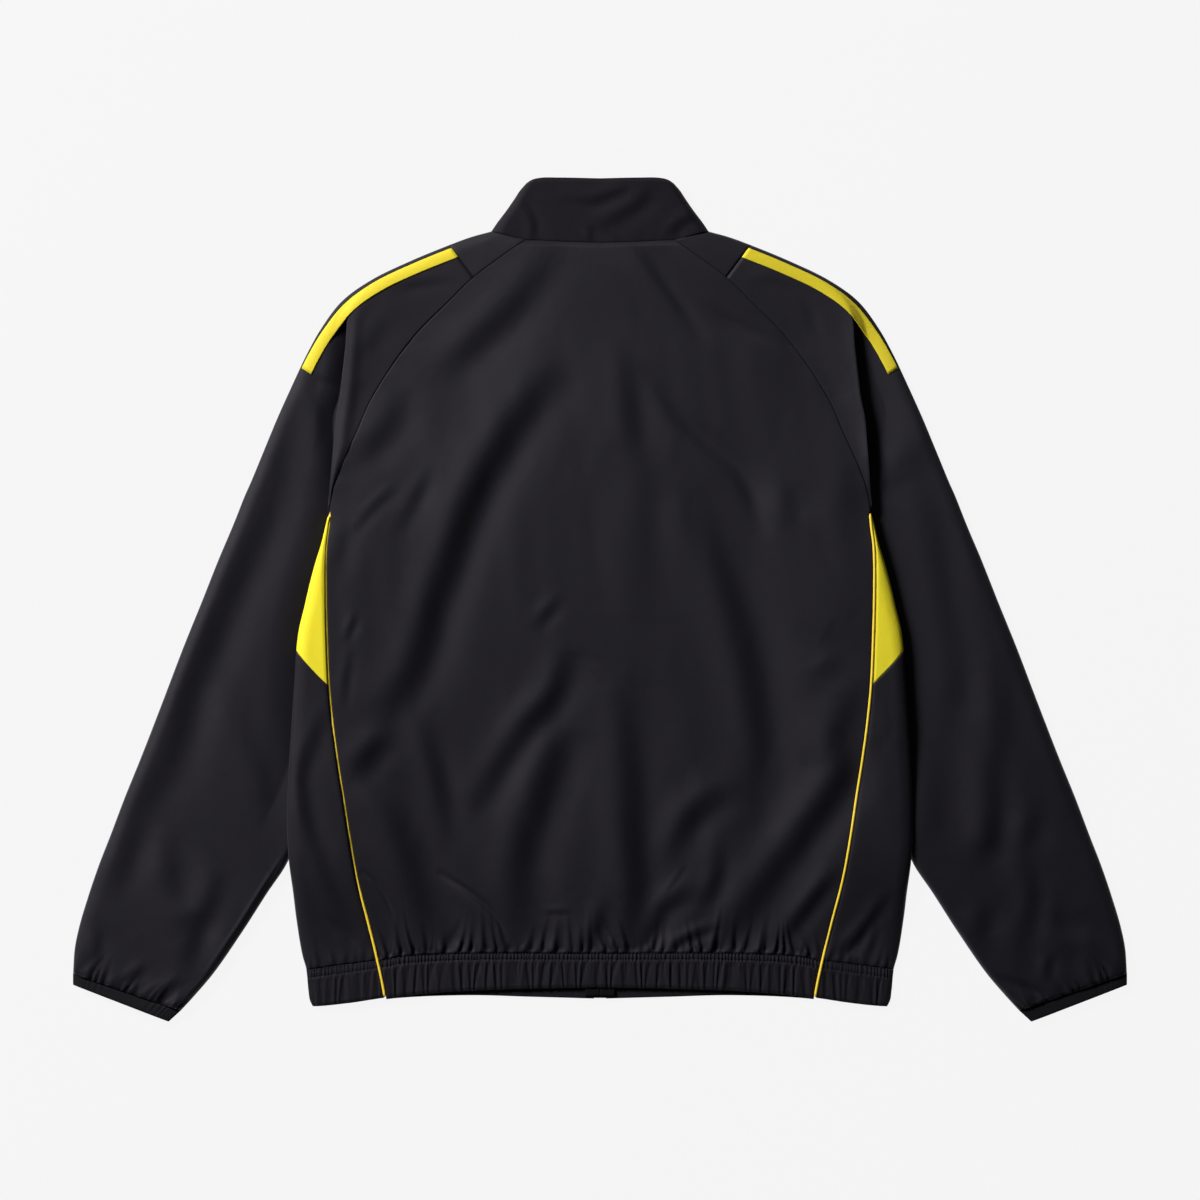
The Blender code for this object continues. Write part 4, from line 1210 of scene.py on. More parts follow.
    def tape(self, points: Array, rows: int) -> Array:
        """The bright tape on the shoulder, which lies on the sleeve along its fold.

        Args:
            points: The sleeve's points.
            rows: How many of its rows the tape covers.

        Returns:
            Outer points of the tape.
        """
        part = points[:rows]
        lift = grid_normals(part, np.zeros(rows, dtype=bool))
        if lift[:, 10, 2].mean() < 0:
            lift = -lift
        upper, raised = part[:, : self.upper_columns], part + lift * (self.layout.gap + 0.55)
        size = np.linalg.norm(upper[..., :2] - upper[:, -1:, :2], axis=2)
        outermost = size <= np.minimum.accumulate(size, axis=1)  # leaves out the cloth in the pleat
        out = np.empty((rows, self.tape_columns, 3))
        for r in range(rows):
            margin = 1.9 + 1.9 * float(smooth(1.0, 0.55, r / rows))
            marks = np.linspace(margin + self.tape_width, margin, self.tape_columns)
            shown = raised[r, : self.upper_columns][outermost[r]]
            for axis in range(3):
                out[r, :, axis] = np.interp(-marks, -size[r][outermost[r]], shown[:, axis])
        # The tape bridges the pleat under it
        near = [np.clip(np.arange(rows) + step, 0, rows - 1) for step in range(-3, 4)]
        bridged = np.max([out[at, :, 2] for at in near], axis=0)
        out[..., 2] = np.mean([bridged[at] for at in near], axis=0) + 0.05
        return out

    def build(self) -> list[bpy.types.Object]:
        """Builds the yoke, the sleeve and the tape.

        Returns:
            The finished pieces.
        """
        lay, marks, cut = self.layout, self.sections.marks(), self.sections
        label = self.side.label
        place = np.linspace(0.0, marks[cut.yoke], self.yoke_rows)
        yoke = self.sunk(self.shape(place, np.zeros(len(place))), marks[cut.yoke] - place)
        yoke = self.trim(yoke, 0.0, lay.seam / 2)
        upper = np.linspace(marks[cut.yoke], marks[cut.armpit], self.open_rows)[:-1]
        lower = np.linspace(marks[cut.armpit], marks[-1], self.tube_rows)
        place = np.concatenate((upper, lower))
        closed = np.arange(len(place)) >= len(upper)
        sleeve = self.sunk(self.shape(place, closed.astype(float)), place - marks[cut.yoke])
        sleeve = self.trim(sleeve, lay.seam / 2, 0.0)
        tape = self.tape(sleeve, int(np.searchsorted(upper, marks[cut.tape_end])))
        return [
            ClothPiece(
                f"yoke_cloth_{label}", yoke, True, self.shell, (f"yoke_{label}",), "shell",
                (0.090, 0.062), Held.FOLDED, 0.0036,
            ).build(),
            ClothPiece(
                f"sleeve_cloth_{label}", sleeve, True, self.shell, (f"sleeve_{label}",), "shell",
                (0.345, 0.800), Held.FOLDED, 0.185, closed,
            ).build(),
            ClothPiece(
                f"shoulder_tape_{label}", tape, True, self.tape_finish, (f"stripe_{label}",),
                "shoulder_tape", (0.0100, 0.178), Held.LAID, wall=0.5,
            ).build(),
        ]


@dataclass
class Cuff:
    """One elastic cuff binding: a soft ring round the end of the sleeve."""

    side: Side
    finish: "Finish"
    end: tuple[float, float, float, float] = (379.0, -370.5, 463.2, -338.0)
    columns: int = 340
    rows: int = 14
    ribs: int = 46
    rib_height: float = 0.20
    level: float = 3.3
    half_height: float = 2.7

    def surface(self) -> Array:
        """Points of the ring's outer face, row by row down the cuff.

        Returns:
            Rows and columns of points in mm.
        """
        sign = self.side.value
        start = np.array(SECTIONS.rows[-1][:4])
        step = np.array(self.end) - start
        out = []
        angle = np.linspace(0.0, 2 * np.pi, self.columns)
        c, s = np.cos(angle), np.sin(angle)
        p, q = np.sign(c) * np.abs(c) ** 0.5, np.sign(s) * np.abs(s) ** 0.6
        for share in np.linspace(0.012, 1.0, self.rows):
            ax, ay, bx, by = start + step * share
            ux, uy, half = (bx - ax) / 2, (by - ay) / 2, math.hypot(bx - ax, by - ay) / 2
            phase = self.ribs * angle + 1.6 * wander(angle * 2.4, 13)
            size = self.rib_height * (0.6 + 0.4 * wander(angle * 4.0, 17)) * (1.0 - 0.55 * share)
            seam = 0.5 * np.exp(-((share / 0.10) ** 2))
            seam = seam + 0.35 * np.exp(-(((share - 1.0) / 0.08) ** 2))
            wave = (size * np.sin(phase) - seam) * np.abs(s) ** 0.5
            k = -p * (1 + wave / half)
            z = self.level + q * (self.half_height + wave)
            out.append(np.stack((sign * (ax + ux * (1 + k)), ay + uy * (1 + k), z), axis=1))
        points = np.array(out)
        points[:, -1] = points[:, 0]
        return points

    def build(self) -> bpy.types.Object:
        """Builds the cuff.

        Returns:
            The finished piece.
        """
        label = self.side.label
        points = self.surface()
        return ClothPiece(
            f"cuff_band_{label}", points, True, self.finish, (f"cuff_{label}",), "cuff_binding",
            (0.205, 0.013), Held.GATHERED, closed=np.ones(len(points), dtype=bool), wall=1.0,
        ).build()


# ---------------------------------------------------------------- hem and collar


@dataclass
class Hem:
    """The elastic hem: a finely shirred header over a gathered band, all round the body."""

    finish: "Finish"
    pitch: float = 8.0
    shirring: float = 3.1
    back_columns: int = 640
    front_columns: int = 260
    side_columns: int = 96
    rows: int = 30
    side_fold: float = 258.5
    layout: Layout = LAYOUT

    @property
    def cross_lines(self) -> Array:
        """The hem's cross lines, 0 to 1 over the header and 1 to 2 over the band."""
        header, band = np.linspace(0, 1, self.rows // 3), np.linspace(1, 2, self.rows)
        return np.concatenate((header, band[1:]))

    def relief(self, x: Array, line: Array, seed: int) -> Array:
        """Height of the header's shirring and of the band's gathers.

        Args:
            x: Places along the hem.
            line: 0 at the header's top, 1 at its foot, 2 at the edge of the band.
            seed: Which of the uneven gathers.

        Returns:
            Heights in mm.
        """
        header = smooth(1.06, 0.94, line)
        turns = 2 * np.pi * (x / self.shirring + 0.45 * wander(x / 9.0, seed))
        shirring = 0.55 * gather_wave(turns, 0.5) * (0.8 + 0.4 * wander(x / 5.0, seed + 1))
        rows = [np.exp(-(((line - row) / 0.09) ** 2)) for row in self.layout.stitch_lines]
        stitch = 0.7 * (0.7 * rows[0] + rows[1])
        across = x + (line - 1.0) * (4.0 * wander(x / 10.0, seed + 2) + 0.6)
        turns = 2 * np.pi * (across / self.pitch + 0.42 * wander(across / 17.0, seed + 3))
        size = 0.9 + 0.5 * wander(across / 9.0, seed + 4)
        split = gather_wave(2.0 * turns + 2.2 * wander(across / 8.0, seed + 5), 0.35)
        grow = smooth(0.96, 1.22, line) * (1.0 - 0.35 * smooth(1.70, 2.0, line))
        split = 0.30 * split * smooth(1.75, 1.1, line)
        band = size * grow * (0.62 * gather_wave(turns, 0.45) - 0.15 + split)
        roll = 0.9 * smooth(1.88, 2.0, line)
        return header * (shirring - 0.15 - stitch) + (1 - header) * band - roll

    def flat(self, side: Side | None) -> Array:
        """The back's hem, or that of one front.

        Args:
            side: The front's side, or None for the back.

        Returns:
            Points of the outer face.
        """
        lay, upper = self.layout, side is None
        sign = 1 if side is None else side.value
        foot = lay.back_hem if upper else lay.front_hem
        count = self.back_columns if upper else self.front_columns
        s = np.linspace(-1.0 if upper else 0.0, 1.0, count)
        out = []
        for line in self.cross_lines:
            y = lay.hem_y(line, lay.hem_reach * np.abs(s), foot)
            edge = lay.piping.at(y) - lay.beside_piping
            x = s * edge if upper else lay.zip_half + (edge - lay.zip_half) * s
            wave = self.relief(x, np.full_like(x, line), 201 if upper else 260 + sign)
            if upper:
                z = lay.hem_level - 0.5 + wave - seam_dip(edge - np.abs(x), 0.5, 1.2)
            else:
                calm = float(smooth(2.0, 1.55, line))
                z = np.maximum(0.55 - 0.7 * wave * calm, 0.0)
            out.append(np.stack((sign * x, y, z), axis=1))
        return np.array(out)

    def turned(self, side: Side) -> Array:
        """The side's hem, from the back round the side fold to the front.

        Args:
            side: Which side.

        Returns:
            Points of the outer face.
        """
        lay, sign = self.layout, side.value
        out = []
        s = 0.6 * np.sin(np.linspace(0, np.pi / 2, self.side_columns))
        s = s + 0.4 * np.linspace(0, 1, self.side_columns)
        level = lay.fold_level
        for line in self.cross_lines:
            parts = []
            down, past = min(line, 1.0), max(0.0, line - 1.0)
            along = lay.side_hem_start + lay.side_hem_span * s - 5.0 * past - 2.5 * down
            for upper in (True, False):
                y = lay.hem_y(line, along, lay.back_hem)
                seam = lay.piping.at(y) + lay.beside_piping
                edge = np.minimum(lay.side_edge.at(y), self.side_fold - 0.5 * down)
                x = seam + s * (edge - seam)
                wave = 0.8 * self.relief(x, np.full_like(x, line), 301 + sign)
                if upper:
                    z = level + (lay.hem_level - 0.5 - level + wave) * cap(edge - x, 9.0)
                else:
                    z = level + (np.maximum(0.55 - 0.7 * wave, 0.0) - level) * cap(edge - x, 7.0)
                points = np.stack((sign * x, y, z), axis=1)
                parts.append(points if upper else points[-2::-1])
            out.append(np.concatenate(parts))
        return np.array(out)

    def stretch(
        self, label: str, points: Array, up: bool, flat: tuple[float, float]
    ) -> bpy.types.Object:
        """Builds one stretch of the hem.

        Args:
            label: How its names end.
            points: Points of its outer face.
            up: Whether that face looks up.
            flat: Length and width of its cloth, in metres.

        Returns:
            The finished piece.
        """
        return ClothPiece(
            f"hem_band_{label}", points, up, self.finish, (f"hem_{label}",), "hem_band", flat,
            Held.GATHERED, wall=1.0,
        ).build()

    def build(self) -> list[bpy.types.Object]:
        """Builds the hem's five stretches.

        Returns:
            The finished pieces.
        """
        made = [self.stretch("back", self.flat(None), True, (0.560, 0.034))]
        for side in Side:
            label = side.label
            made.append(self.stretch(f"front_{label}", self.flat(side), False, (0.275, 0.036)))
            made.append(self.stretch(f"side_{label}", self.turned(side), True, (0.165, 0.034)))
        return made


@dataclass
class Collar:
    """The stand collar, laid flat: its back layer on top, its two fronts under it."""

    finish: "Finish"
    rows: int = 60
    upper_columns: int = 130
    lower_columns: int = 60
    front_end: float = 65.35  # where a front's neck seam ends
    fold_level: float = 3.6
    layout: Layout = LAYOUT

    def neck_under(self, x: Array) -> Array:
        """The seam under the collar's front layer, and on past the fronts along the sleeve.

        Args:
            x: Places across.

        Returns:
            Places along the garment.
        """
        lay = self.layout
        end = self.front_end
        share = np.clip((x - lay.zip_half) / (end - lay.zip_half), 0.0, 1.0)
        under = lay.front_neck_seam.at(lay.neck_reach * share)
        return np.where(x >= end, lay.neck_seam.at(x), under)

    def surface(self) -> Array:
        """Points from one front edge round over the back to the other.

        Returns:
            Rows and columns of points in mm.
        """
        lay, level = self.layout, self.fold_level
        r = np.linspace(0.0, 1.0, self.rows)[:, None]
        r = 0.75 * r + 0.25 * smooth(0, 1, r)
        shoulder, foot_end = lay.collar_side.rows[0][0], lay.collar_side.rows[-1][0]
        half = lay.collar_side.at(shoulder - r * (shoulder - foot_end))
        t = spread(self.lower_columns, 0.3)[None, :]
        low = lay.zip_half + t * (half - lay.zip_half)
        wide = (2 * spread(self.upper_columns, 0.45)[None, :] - 1) * half
        out = []
        for x, upper in ((-low, False), (wide, True), (low[:, ::-1], False)):
            reach = np.abs(x)
            foot = lay.neck_seam.at(reach) if upper else self.neck_under(reach)
            rim = lay.collar_top.at(np.minimum(reach / half * lay.neck_reach, lay.neck_reach))
            y = rim * (1 - r) + (foot + lay.gap / 2) * r
            edge, above, top = half - reach, y - foot, rim - y
            if upper:
                high = lay.base_top(x, np.minimum(y, 312.0)) + creased(COLLAR_CREASES, x, y)
                high = high - seam_dip(above, 0.2, 1.0)
                high = high + 0.22 * wander(x / 10.0, 41) * np.exp(-above / 7)
                high = high - 1.6 * smooth(3.2, 0.0, top) + 0.014 * (y - 313.0)
                z = level + (high - level) * cap(edge, 10.0)
            else:
                lift = seam_dip(above, 0.5, 1.4) + 0.6 * smooth(2.5, 0.0, top)
                z = level + (lay.zip_rise(x, y) + lift - level) * cap(edge, 8.0)
            points = np.stack(np.broadcast_arrays(x, y, z), axis=2)
            out.append(points[:, 1:] if upper else points)
        out[1] = out[1][:, :-1]
        return np.concatenate(out, axis=1)

    def build(self) -> bpy.types.Object:
        """Builds the collar.

        Returns:
            The finished piece.
        """
        return ClothPiece(
            "collar_cloth", self.surface(), False, self.finish, ("collar",), "shell",
            (0.400, 0.074), Held.FOLDED, 0.0225, wall=1.0,
        ).build()


# ---------------------------------------------------------------- trims


def ring_mesh(name: str, path: Array, radius: float, sides: int) -> bpy.types.Object:
    """A cord along a path, closed at both ends.

    Args:
        name: Name of the piece.
        path: Points in mm.
        radius: Half its thickness.
        sides: Faces round the cord.

    Returns:
        The new object.
    """
    tangent = np.gradient(path, axis=0)
    tangent /= np.linalg.norm(tangent, axis=1, keepdims=True)
    across = np.cross(tangent, (0.0, 0.0, 1.0))
    across /= np.linalg.norm(across, axis=1, keepdims=True)
    up = np.cross(across, tangent)
    angle = np.linspace(0.0, 2 * np.pi, sides + 1)
    ends = np.ones(len(path))
    ends[[0, -1]] = 0.02
    ends[[1, -2]] = 0.75
    c, s = np.cos(angle)[None, :, None], np.sin(angle)[None, :, None]
    ring = across[:, None] * c + up[:, None] * s
    points = path[:, None] + ring * radius * ends[:, None, None]
    points[:, -1] = points[:, 0]
    obj = grid_mesh(name, points, np.ones(len(path), dtype=bool))
    bm = bmesh.new()
    bm.from_mesh(obj.data)
    for axis_end in (path[0], path[-1]):
        rim = [v for v in bm.verts if (v.co / MM - Vector(axis_end)).length < 0.1]
        bmesh.ops.remove_doubles(bm, verts=rim, dist=0.2 * MM)
    bmesh.ops.recalc_face_normals(bm, faces=bm.faces[:])
    bm.to_mesh(obj.data)
    bm.free()
    return obj


@dataclass
class Piping:
    """The bright piping between the back or front and the side."""

    side: Side
    finish: "Finish"
    start: float = 76.5
    end: float = -349.0
    steps: int = 290
    sides: int = 12
    layout: Layout = LAYOUT

    def build(self) -> list[bpy.types.Object]:
        """Builds the upper and the lower cord.

        Returns:
            The finished pieces.
        """
        lay, sign, label = self.layout, self.side.value, self.side.label
        y = np.linspace(self.start, self.end, self.steps)
        x = lay.piping.at(y)
        top = np.where(y > -312, lay.body_top(sign * x, y), lay.hem_level)
        top = top - 0.75 + 0.12 * wander(y / 7.0, 19)
        low = lay.front_low(x, y) + lay.piping_radius + 0.05
        made = []
        for layer, z in (("back", top), ("front", low)):
            path = np.stack((sign * x, y, z), axis=1)
            cord = ring_mesh(
                f"piping_cord_{layer}_{label}", path, lay.piping_radius, self.sides
            )
            self.finish.dress(cord)
            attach(cord, "jacket")
            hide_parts(f"piping_{layer}_{label}")
            LOG.info("%s", cord.name)
            made.append(cord)
        return made


@dataclass
class Stitches:
    """Rows of lockstitch: short threads laid along seams."""

    finish: "Finish"
    length: float = 2.2
    pitch: float = 3.0
    thickness: float = 0.17
    layout: Layout = LAYOUT

    def lines(self) -> list[Array]:
        """Paths of the hem's topstitching in mm.

        Returns:
            One path for each row, on the back and on both sides.
        """
        lay = self.layout
        level = lay.hem_level - 0.42
        across = [np.linspace(-192.0, 192.0, 400)]
        across += [sign * np.linspace(200.0, 249.0, 60) for sign in (-1, 1)]
        return [
            np.stack((x, lay.hem_y(line, np.abs(x), lay.back_hem), np.full_like(x, level)), axis=1)
            for x in across
            for line in lay.stitch_lines
        ]

    def thread(self, bm: bmesh.types.BMesh, start: Array, end: Array) -> None:
        """One stitch: a short thread whose ends sink into the cloth.

        Args:
            bm: The mesh it joins.
            start: Where the needle comes up, in mm.
            end: Where it goes down.
        """
        made = bmesh.ops.create_icosphere(bm, subdivisions=1, radius=1.0)["verts"]
        along = Vector(end - start)
        turn = along.to_track_quat("X", "Z").to_matrix().to_4x4()
        thick = self.thickness * MM
        size = Matrix.Diagonal((along.length / 2 * MM, thick, thick, 1.0))
        place = Matrix.Translation(Vector((start + end) / 2 * MM))
        bmesh.ops.transform(bm, matrix=place @ turn @ size, verts=made)

    def build(self) -> bpy.types.Object:
        """Builds all the rows as one piece.

        Returns:
            The finished piece.
        """
        bm = bmesh.new()
        for path in self.lines():
            lengths = np.linalg.norm(np.diff(path, axis=0), axis=1)
            steps = np.concatenate(([0.0], lengths.cumsum()))
            starts = np.arange(0.5, steps[-1] - self.length, self.pitch)
            ends = [
                np.stack([np.interp(at, steps, c) for c in path.T], axis=1)
                for at in (starts, starts + self.length)
            ]
            for start, end in zip(*ends):
                self.thread(bm, start, end)
        obj = built("stitches_hem", bm)
        obj.data.shade_smooth()
        self.finish.dress(obj)
        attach(obj, "jacket")
        LOG.info("%s", obj.name)
        return obj


@dataclass
class Zip:
    """The closed zip on the underside: tapes, teeth, bottom box, slider and pull tab."""

    tape: "Finish"
    teeth: "Finish"
    metal: "Finish"
    chain_top: float = 362.5
    chain_foot: float = -343.4
    tape_edges: tuple[float, float] = (0.4, 13.0)
    beside: float = 3.0  # how far from the middle line the lift over the slider is read
    tooth_pitch: float = 2.3
    tooth_size: tuple[float, float, float] = (3.3, 1.5, 1.7)
    tooth_middle: tuple[float, float] = (0.85, 1.15)  # across, and up
    nose_width: float = 0.62  # share of a tooth's width at its nose
    nose_height: float = 1.45
    layout: Layout = LAYOUT

    def strip(self, side: Side) -> Array:
        """Outer points of one woven zip tape, which look down.

        Args:
            side: Which side.

        Returns:
            Rows and columns of points in mm.
        """
        lay, sign = self.layout, side.value
        y = np.linspace(self.chain_top, self.chain_foot - 6.0, 220)[:, None]
        x = np.linspace(*self.tape_edges, 14)[None, :]
        z = 1.6 + lay.zip_rise(np.full_like(y, self.beside), y) + 1.2 * smooth(-285, -306, y)
        return np.stack(np.broadcast_arrays(sign * x, y, z), axis=2)

    def tooth(self, bm: bmesh.types.BMesh, x: float, y: float, z: float) -> None:
        """One moulded tooth.

        Args:
            bm: The mesh it joins.
            x: Its middle, across.
            y: Its middle, along.
            z: Its middle, up.
        """
        made = bmesh.ops.create_cube(bm, size=1.0)["verts"]
        length, width, height = self.tooth_size
        for v in made:
            if v.co.x * x < 0:
                size = (length, width * self.nose_width, self.nose_height)
            else:
                size = (length, width, height)
            v.co = Vector([a * b for a, b in zip(v.co, size)])
        bmesh.ops.translate(bm, vec=(x, y, z), verts=made)
        bmesh.ops.scale(bm, vec=(MM, MM, MM), verts=made)

    def build(self) -> list[bpy.types.Object]:
        """Builds the tapes and teeth.

        Returns:
            The finished pieces.
        """
        made = []
        for side in Side:
            label = side.label
            made.append(ClothPiece(
                f"zip_tape_cloth_{label}", self.strip(side), False, self.tape,
                (f"zip_tape_{label}",), "zip_tape", (0.0126, 0.712), Held.LAID, wall=0.6,
            ).build())
        bm = bmesh.new()
        marks = np.arange(self.chain_top - 1.0, self.chain_foot - 5.0, -self.tooth_pitch / 2)
        rises = self.layout.zip_rise(np.full_like(marks, self.beside), marks)
        across, up = self.tooth_middle
        for k, (y, rise) in enumerate(zip(marks, rises)):
            self.tooth(bm, across if k % 2 else -across, float(y), up + float(rise))
        teeth = built("zip_teeth", bm)
        self.teeth.dress(teeth)
        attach(teeth, "jacket")
        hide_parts("zip_chain")
        LOG.info("zip_teeth: %d teeth", len(marks))
        made.append(teeth)
        return made

    def dress_metal(self, nodes: dict[str, bpy.types.Object]) -> None:
        """Gives the solids that stay their metal finish.

        Args:
            nodes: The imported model's nodes by name.
        """
        for name in ("zip_box", "zip_slider", "zip_pull"):
            self.metal.dress(nodes[name])
            LOG.info("%s", name)


# ---------------------------------------------------------------- finishes


class Net:
    """A short hand for a material's or a group's nodes."""

    def __init__(self, tree: bpy.types.NodeTree) -> None:
        """Keeps the tree that the nodes join."""
        self.tree = tree

    def add(self, kind: str, **values: object) -> bpy.types.Node:
        """Adds a node.

        Args:
            kind: Its type.
            values: Its properties.

        Returns:
            The node.
        """
        node = self.tree.nodes.new(kind)
        for key, value in values.items():
            setattr(node, key, value)
        return node

    def join(self, source: bpy.types.NodeSocket, target: bpy.types.NodeSocket) -> None:
        """Links two sockets."""
        self.tree.links.new(source, target)

    def fill(self, node: bpy.types.Node, values: dict[str, object]) -> None:
        """Joins or sets a node's inputs.

        Args:
            node: The node.
            values: A socket or a value for each input by its name.
        """
        for name, value in values.items():
            if isinstance(value, bpy.types.NodeSocket):
                self.join(value, node.inputs[name])
            else:
                node.inputs[name].default_value = value

    def math(self, operation: str, a: object, b: object = 0.0) -> bpy.types.NodeSocket:
        """A sum of two sockets or numbers.

        Args:
            operation: What is worked out.
            a: First socket or number.
            b: Second socket or number.

        Returns:
            The result's socket.
        """
        node = self.add("ShaderNodeMath", operation=operation)
        for i, value in enumerate((a, b)):
            if isinstance(value, bpy.types.NodeSocket):
                self.join(value, node.inputs[i])
            else:
                node.inputs[i].default_value = value
        return node.outputs[0]

    def sum(self, a: object, b: object, share: float) -> bpy.types.NodeSocket:
        """The first value times the share, plus the second."""
        return self.math("ADD", self.math("MULTIPLY", a, share), b)

    def noise(
        self, vector: bpy.types.NodeSocket, scale: float, detail: float
    ) -> bpy.types.NodeSocket:
        """A noise value.

        Args:
            vector: Where it is read.
            scale: Its scale.
            detail: Its detail.

        Returns:
            The value's socket.
        """
        node = self.add("ShaderNodeTexNoise")
        self.fill(node, {"Scale": scale, "Detail": detail, "Vector": vector})
        return node.outputs["Fac"]

    def bands(self, vector: bpy.types.NodeSocket, scale: float) -> bpy.types.NodeSocket:
        """The value of slanting bands, for a twist or a twill.

        Args:
            vector: Where it is read.
            scale: Its scale.

        Returns:
            The value's socket.
        """
        node = self.add("ShaderNodeTexWave", wave_type="BANDS", bands_direction="DIAGONAL")
        self.fill(node, {"Scale": scale, "Vector": vector})
        return node.outputs["Fac"]

    def stretched(
        self, vector: bpy.types.NodeSocket, scale: Sequence[float], turn: float = 0.0
    ) -> bpy.types.NodeSocket:
        """A vector scaled, and turned about its third axis.

        Args:
            vector: The vector.
            scale: Its scale along each axis.
            turn: Its turn in radians.

        Returns:
            The new vector's socket.
        """
        node = self.add("ShaderNodeMapping")
        self.fill(node, {"Scale": scale, "Rotation": (0.0, 0.0, turn), "Vector": vector})
        return node.outputs[0]

    def bump(
        self, height: bpy.types.NodeSocket, distance: float,
        normal: bpy.types.NodeSocket | None = None,
    ) -> bpy.types.NodeSocket:
        """A relief.

        Args:
            height: Its height's socket.
            distance: How deep it is, in metres.
            normal: A relief that it lies on.

        Returns:
            The normal's socket.
        """
        node = self.add("ShaderNodeBump")
        self.fill(node, {"Distance": distance, "Height": height})
        if normal is not None:
            self.join(normal, node.inputs["Normal"])
        return node.outputs[0]

    def blend(
        self, share: bpy.types.NodeSocket, low: Sequence[float], high: Sequence[float]
    ) -> bpy.types.NodeSocket:
        """A colour between two others.

        Args:
            share: Socket with the share of the second.
            low: The first colour.
            high: The second colour.

        Returns:
            The colour's socket.
        """
        node = self.add("ShaderNodeMix", data_type="RGBA")
        self.fill(node, {"Factor": share, "A": (*low, 1.0), "B": (*high, 1.0)})
        return node.outputs["Result"]


def new_group(
    name: str, inputs: dict[str, tuple[str, float | None]], outputs: Sequence[str]
) -> bpy.types.NodeTree:
    """Starts a shader node group.

    Args:
        name: Its name.
        inputs: Type and value of each input.
        outputs: Names of its value outputs.

    Returns:
        The group, with its input and output nodes named "in" and "out".
    """
    group = bpy.data.node_groups.new(name, "ShaderNodeTree")
    for label, (kind, value) in inputs.items():
        socket = group.interface.new_socket(label, in_out="INPUT", socket_type=kind)
        if value is not None:
            socket.default_value = value
    for label in outputs:
        group.interface.new_socket(label, in_out="OUTPUT", socket_type="NodeSocketFloat")
    group.nodes.new("NodeGroupInput").name = "in"
    group.nodes.new("NodeGroupOutput").name = "out"
    return group


def weave_group() -> bpy.types.NodeTree:
    """A plain weave with slubs and a fine crumple.

    Returns:
        The group: Map and Pitch in, Height of the threads, Crumple and Tone out.
    """
    name = "plain weave"
    if name in bpy.data.node_groups:
        return bpy.data.node_groups[name]
    group = new_group(
        name, {"Map": ("NodeSocketVector", None), "Pitch": ("NodeSocketFloat", 0.0005)},
        ("Height", "Crumple", "Tone"),
    )
    net, source, out = Net(group), group.nodes["in"].outputs, group.nodes["out"].inputs
    place = net.add("ShaderNodeSeparateXYZ")
    net.join(source["Map"], place.inputs[0])
    turns = [
        net.math("DIVIDE", net.math("MULTIPLY", place.outputs[i], math.pi), source["Pitch"])
        for i in (0, 1)
    ]
    warp, weft = (net.math("SINE", turn) for turn in turns)
    over = net.math("GREATER_THAN", net.math("MULTIPLY", warp, weft), 0.0)
    under = net.math("SUBTRACT", 1.0, over)
    threads = net.math(
        "ADD", net.math("MULTIPLY", net.math("ABSOLUTE", warp), over),
        net.math("MULTIPLY", net.math("ABSOLUTE", weft), under),
    )
    net.join(threads, out["Height"])
    net.join(net.noise(source["Map"], 95.0, 3.0), out["Crumple"])
    slubs = net.noise(net.stretched(source["Map"], (1.0, 0.12, 1.0)), 900.0, 2.0)
    broad = net.noise(source["Map"], 9.0, 3.0)
    net.join(net.sum(slubs, net.math("MULTIPLY", broad, 0.5), 0.5), out["Tone"])
    return group


def wear_group() -> bpy.types.NodeTree:
    """Small scratches and rubbed patches on painted metal.

    Returns:
        The group: Place in, Scratches and Patches out.
    """
    name = "metal wear"
    if name in bpy.data.node_groups:
        return bpy.data.node_groups[name]
    group = new_group(name, {"Place": ("NodeSocketVector", None)}, ("Scratches", "Patches"))
    net, source, out = Net(group), group.nodes["in"].outputs, group.nodes["out"].inputs
    lines = net.noise(net.stretched(source["Place"], (1.0, 0.08, 1.0), 0.3), 2600.0, 2.0)
    net.join(net.math("GREATER_THAN", lines, 0.62), out["Scratches"])
    net.join(net.noise(source["Place"], 420.0, 4.0), out["Patches"])
    return group


@dataclass(frozen=True)
class Finish:
    """A finish that is made once and worn by several pieces."""

    name: str

    def dress(self, obj: bpy.types.Object) -> None:
        """Puts the finish on a piece.

        Args:
            obj: The piece, or a node that stays.
        """
        material = bpy.data.materials.get(self.name)
        if material is None:
            material = bpy.data.materials.new(self.name)
            self.make(*self.start(material))
        if obj.material_slots:
            for slot in obj.material_slots:
                slot.material = material
        else:
            obj.data.materials.append(material)

    @staticmethod
    def start(material: bpy.types.Material) -> tuple[Net, bpy.types.Node]:
        """Opens a material's nodes.

        Args:
            material: The new material.

        Returns:
            Its net and its shader.
        """
        material.use_nodes = True
        return Net(material.node_tree), material.node_tree.nodes["Principled BSDF"]

    def make(self, net: Net, shader: bpy.types.Node) -> None:
        """Builds the nodes; each kind of finish has its own."""
        raise NotImplementedError


@dataclass(frozen=True)
class TwoToneFinish(Finish):
    """A finish between two close tones."""

    dark: Colour
    light: Colour


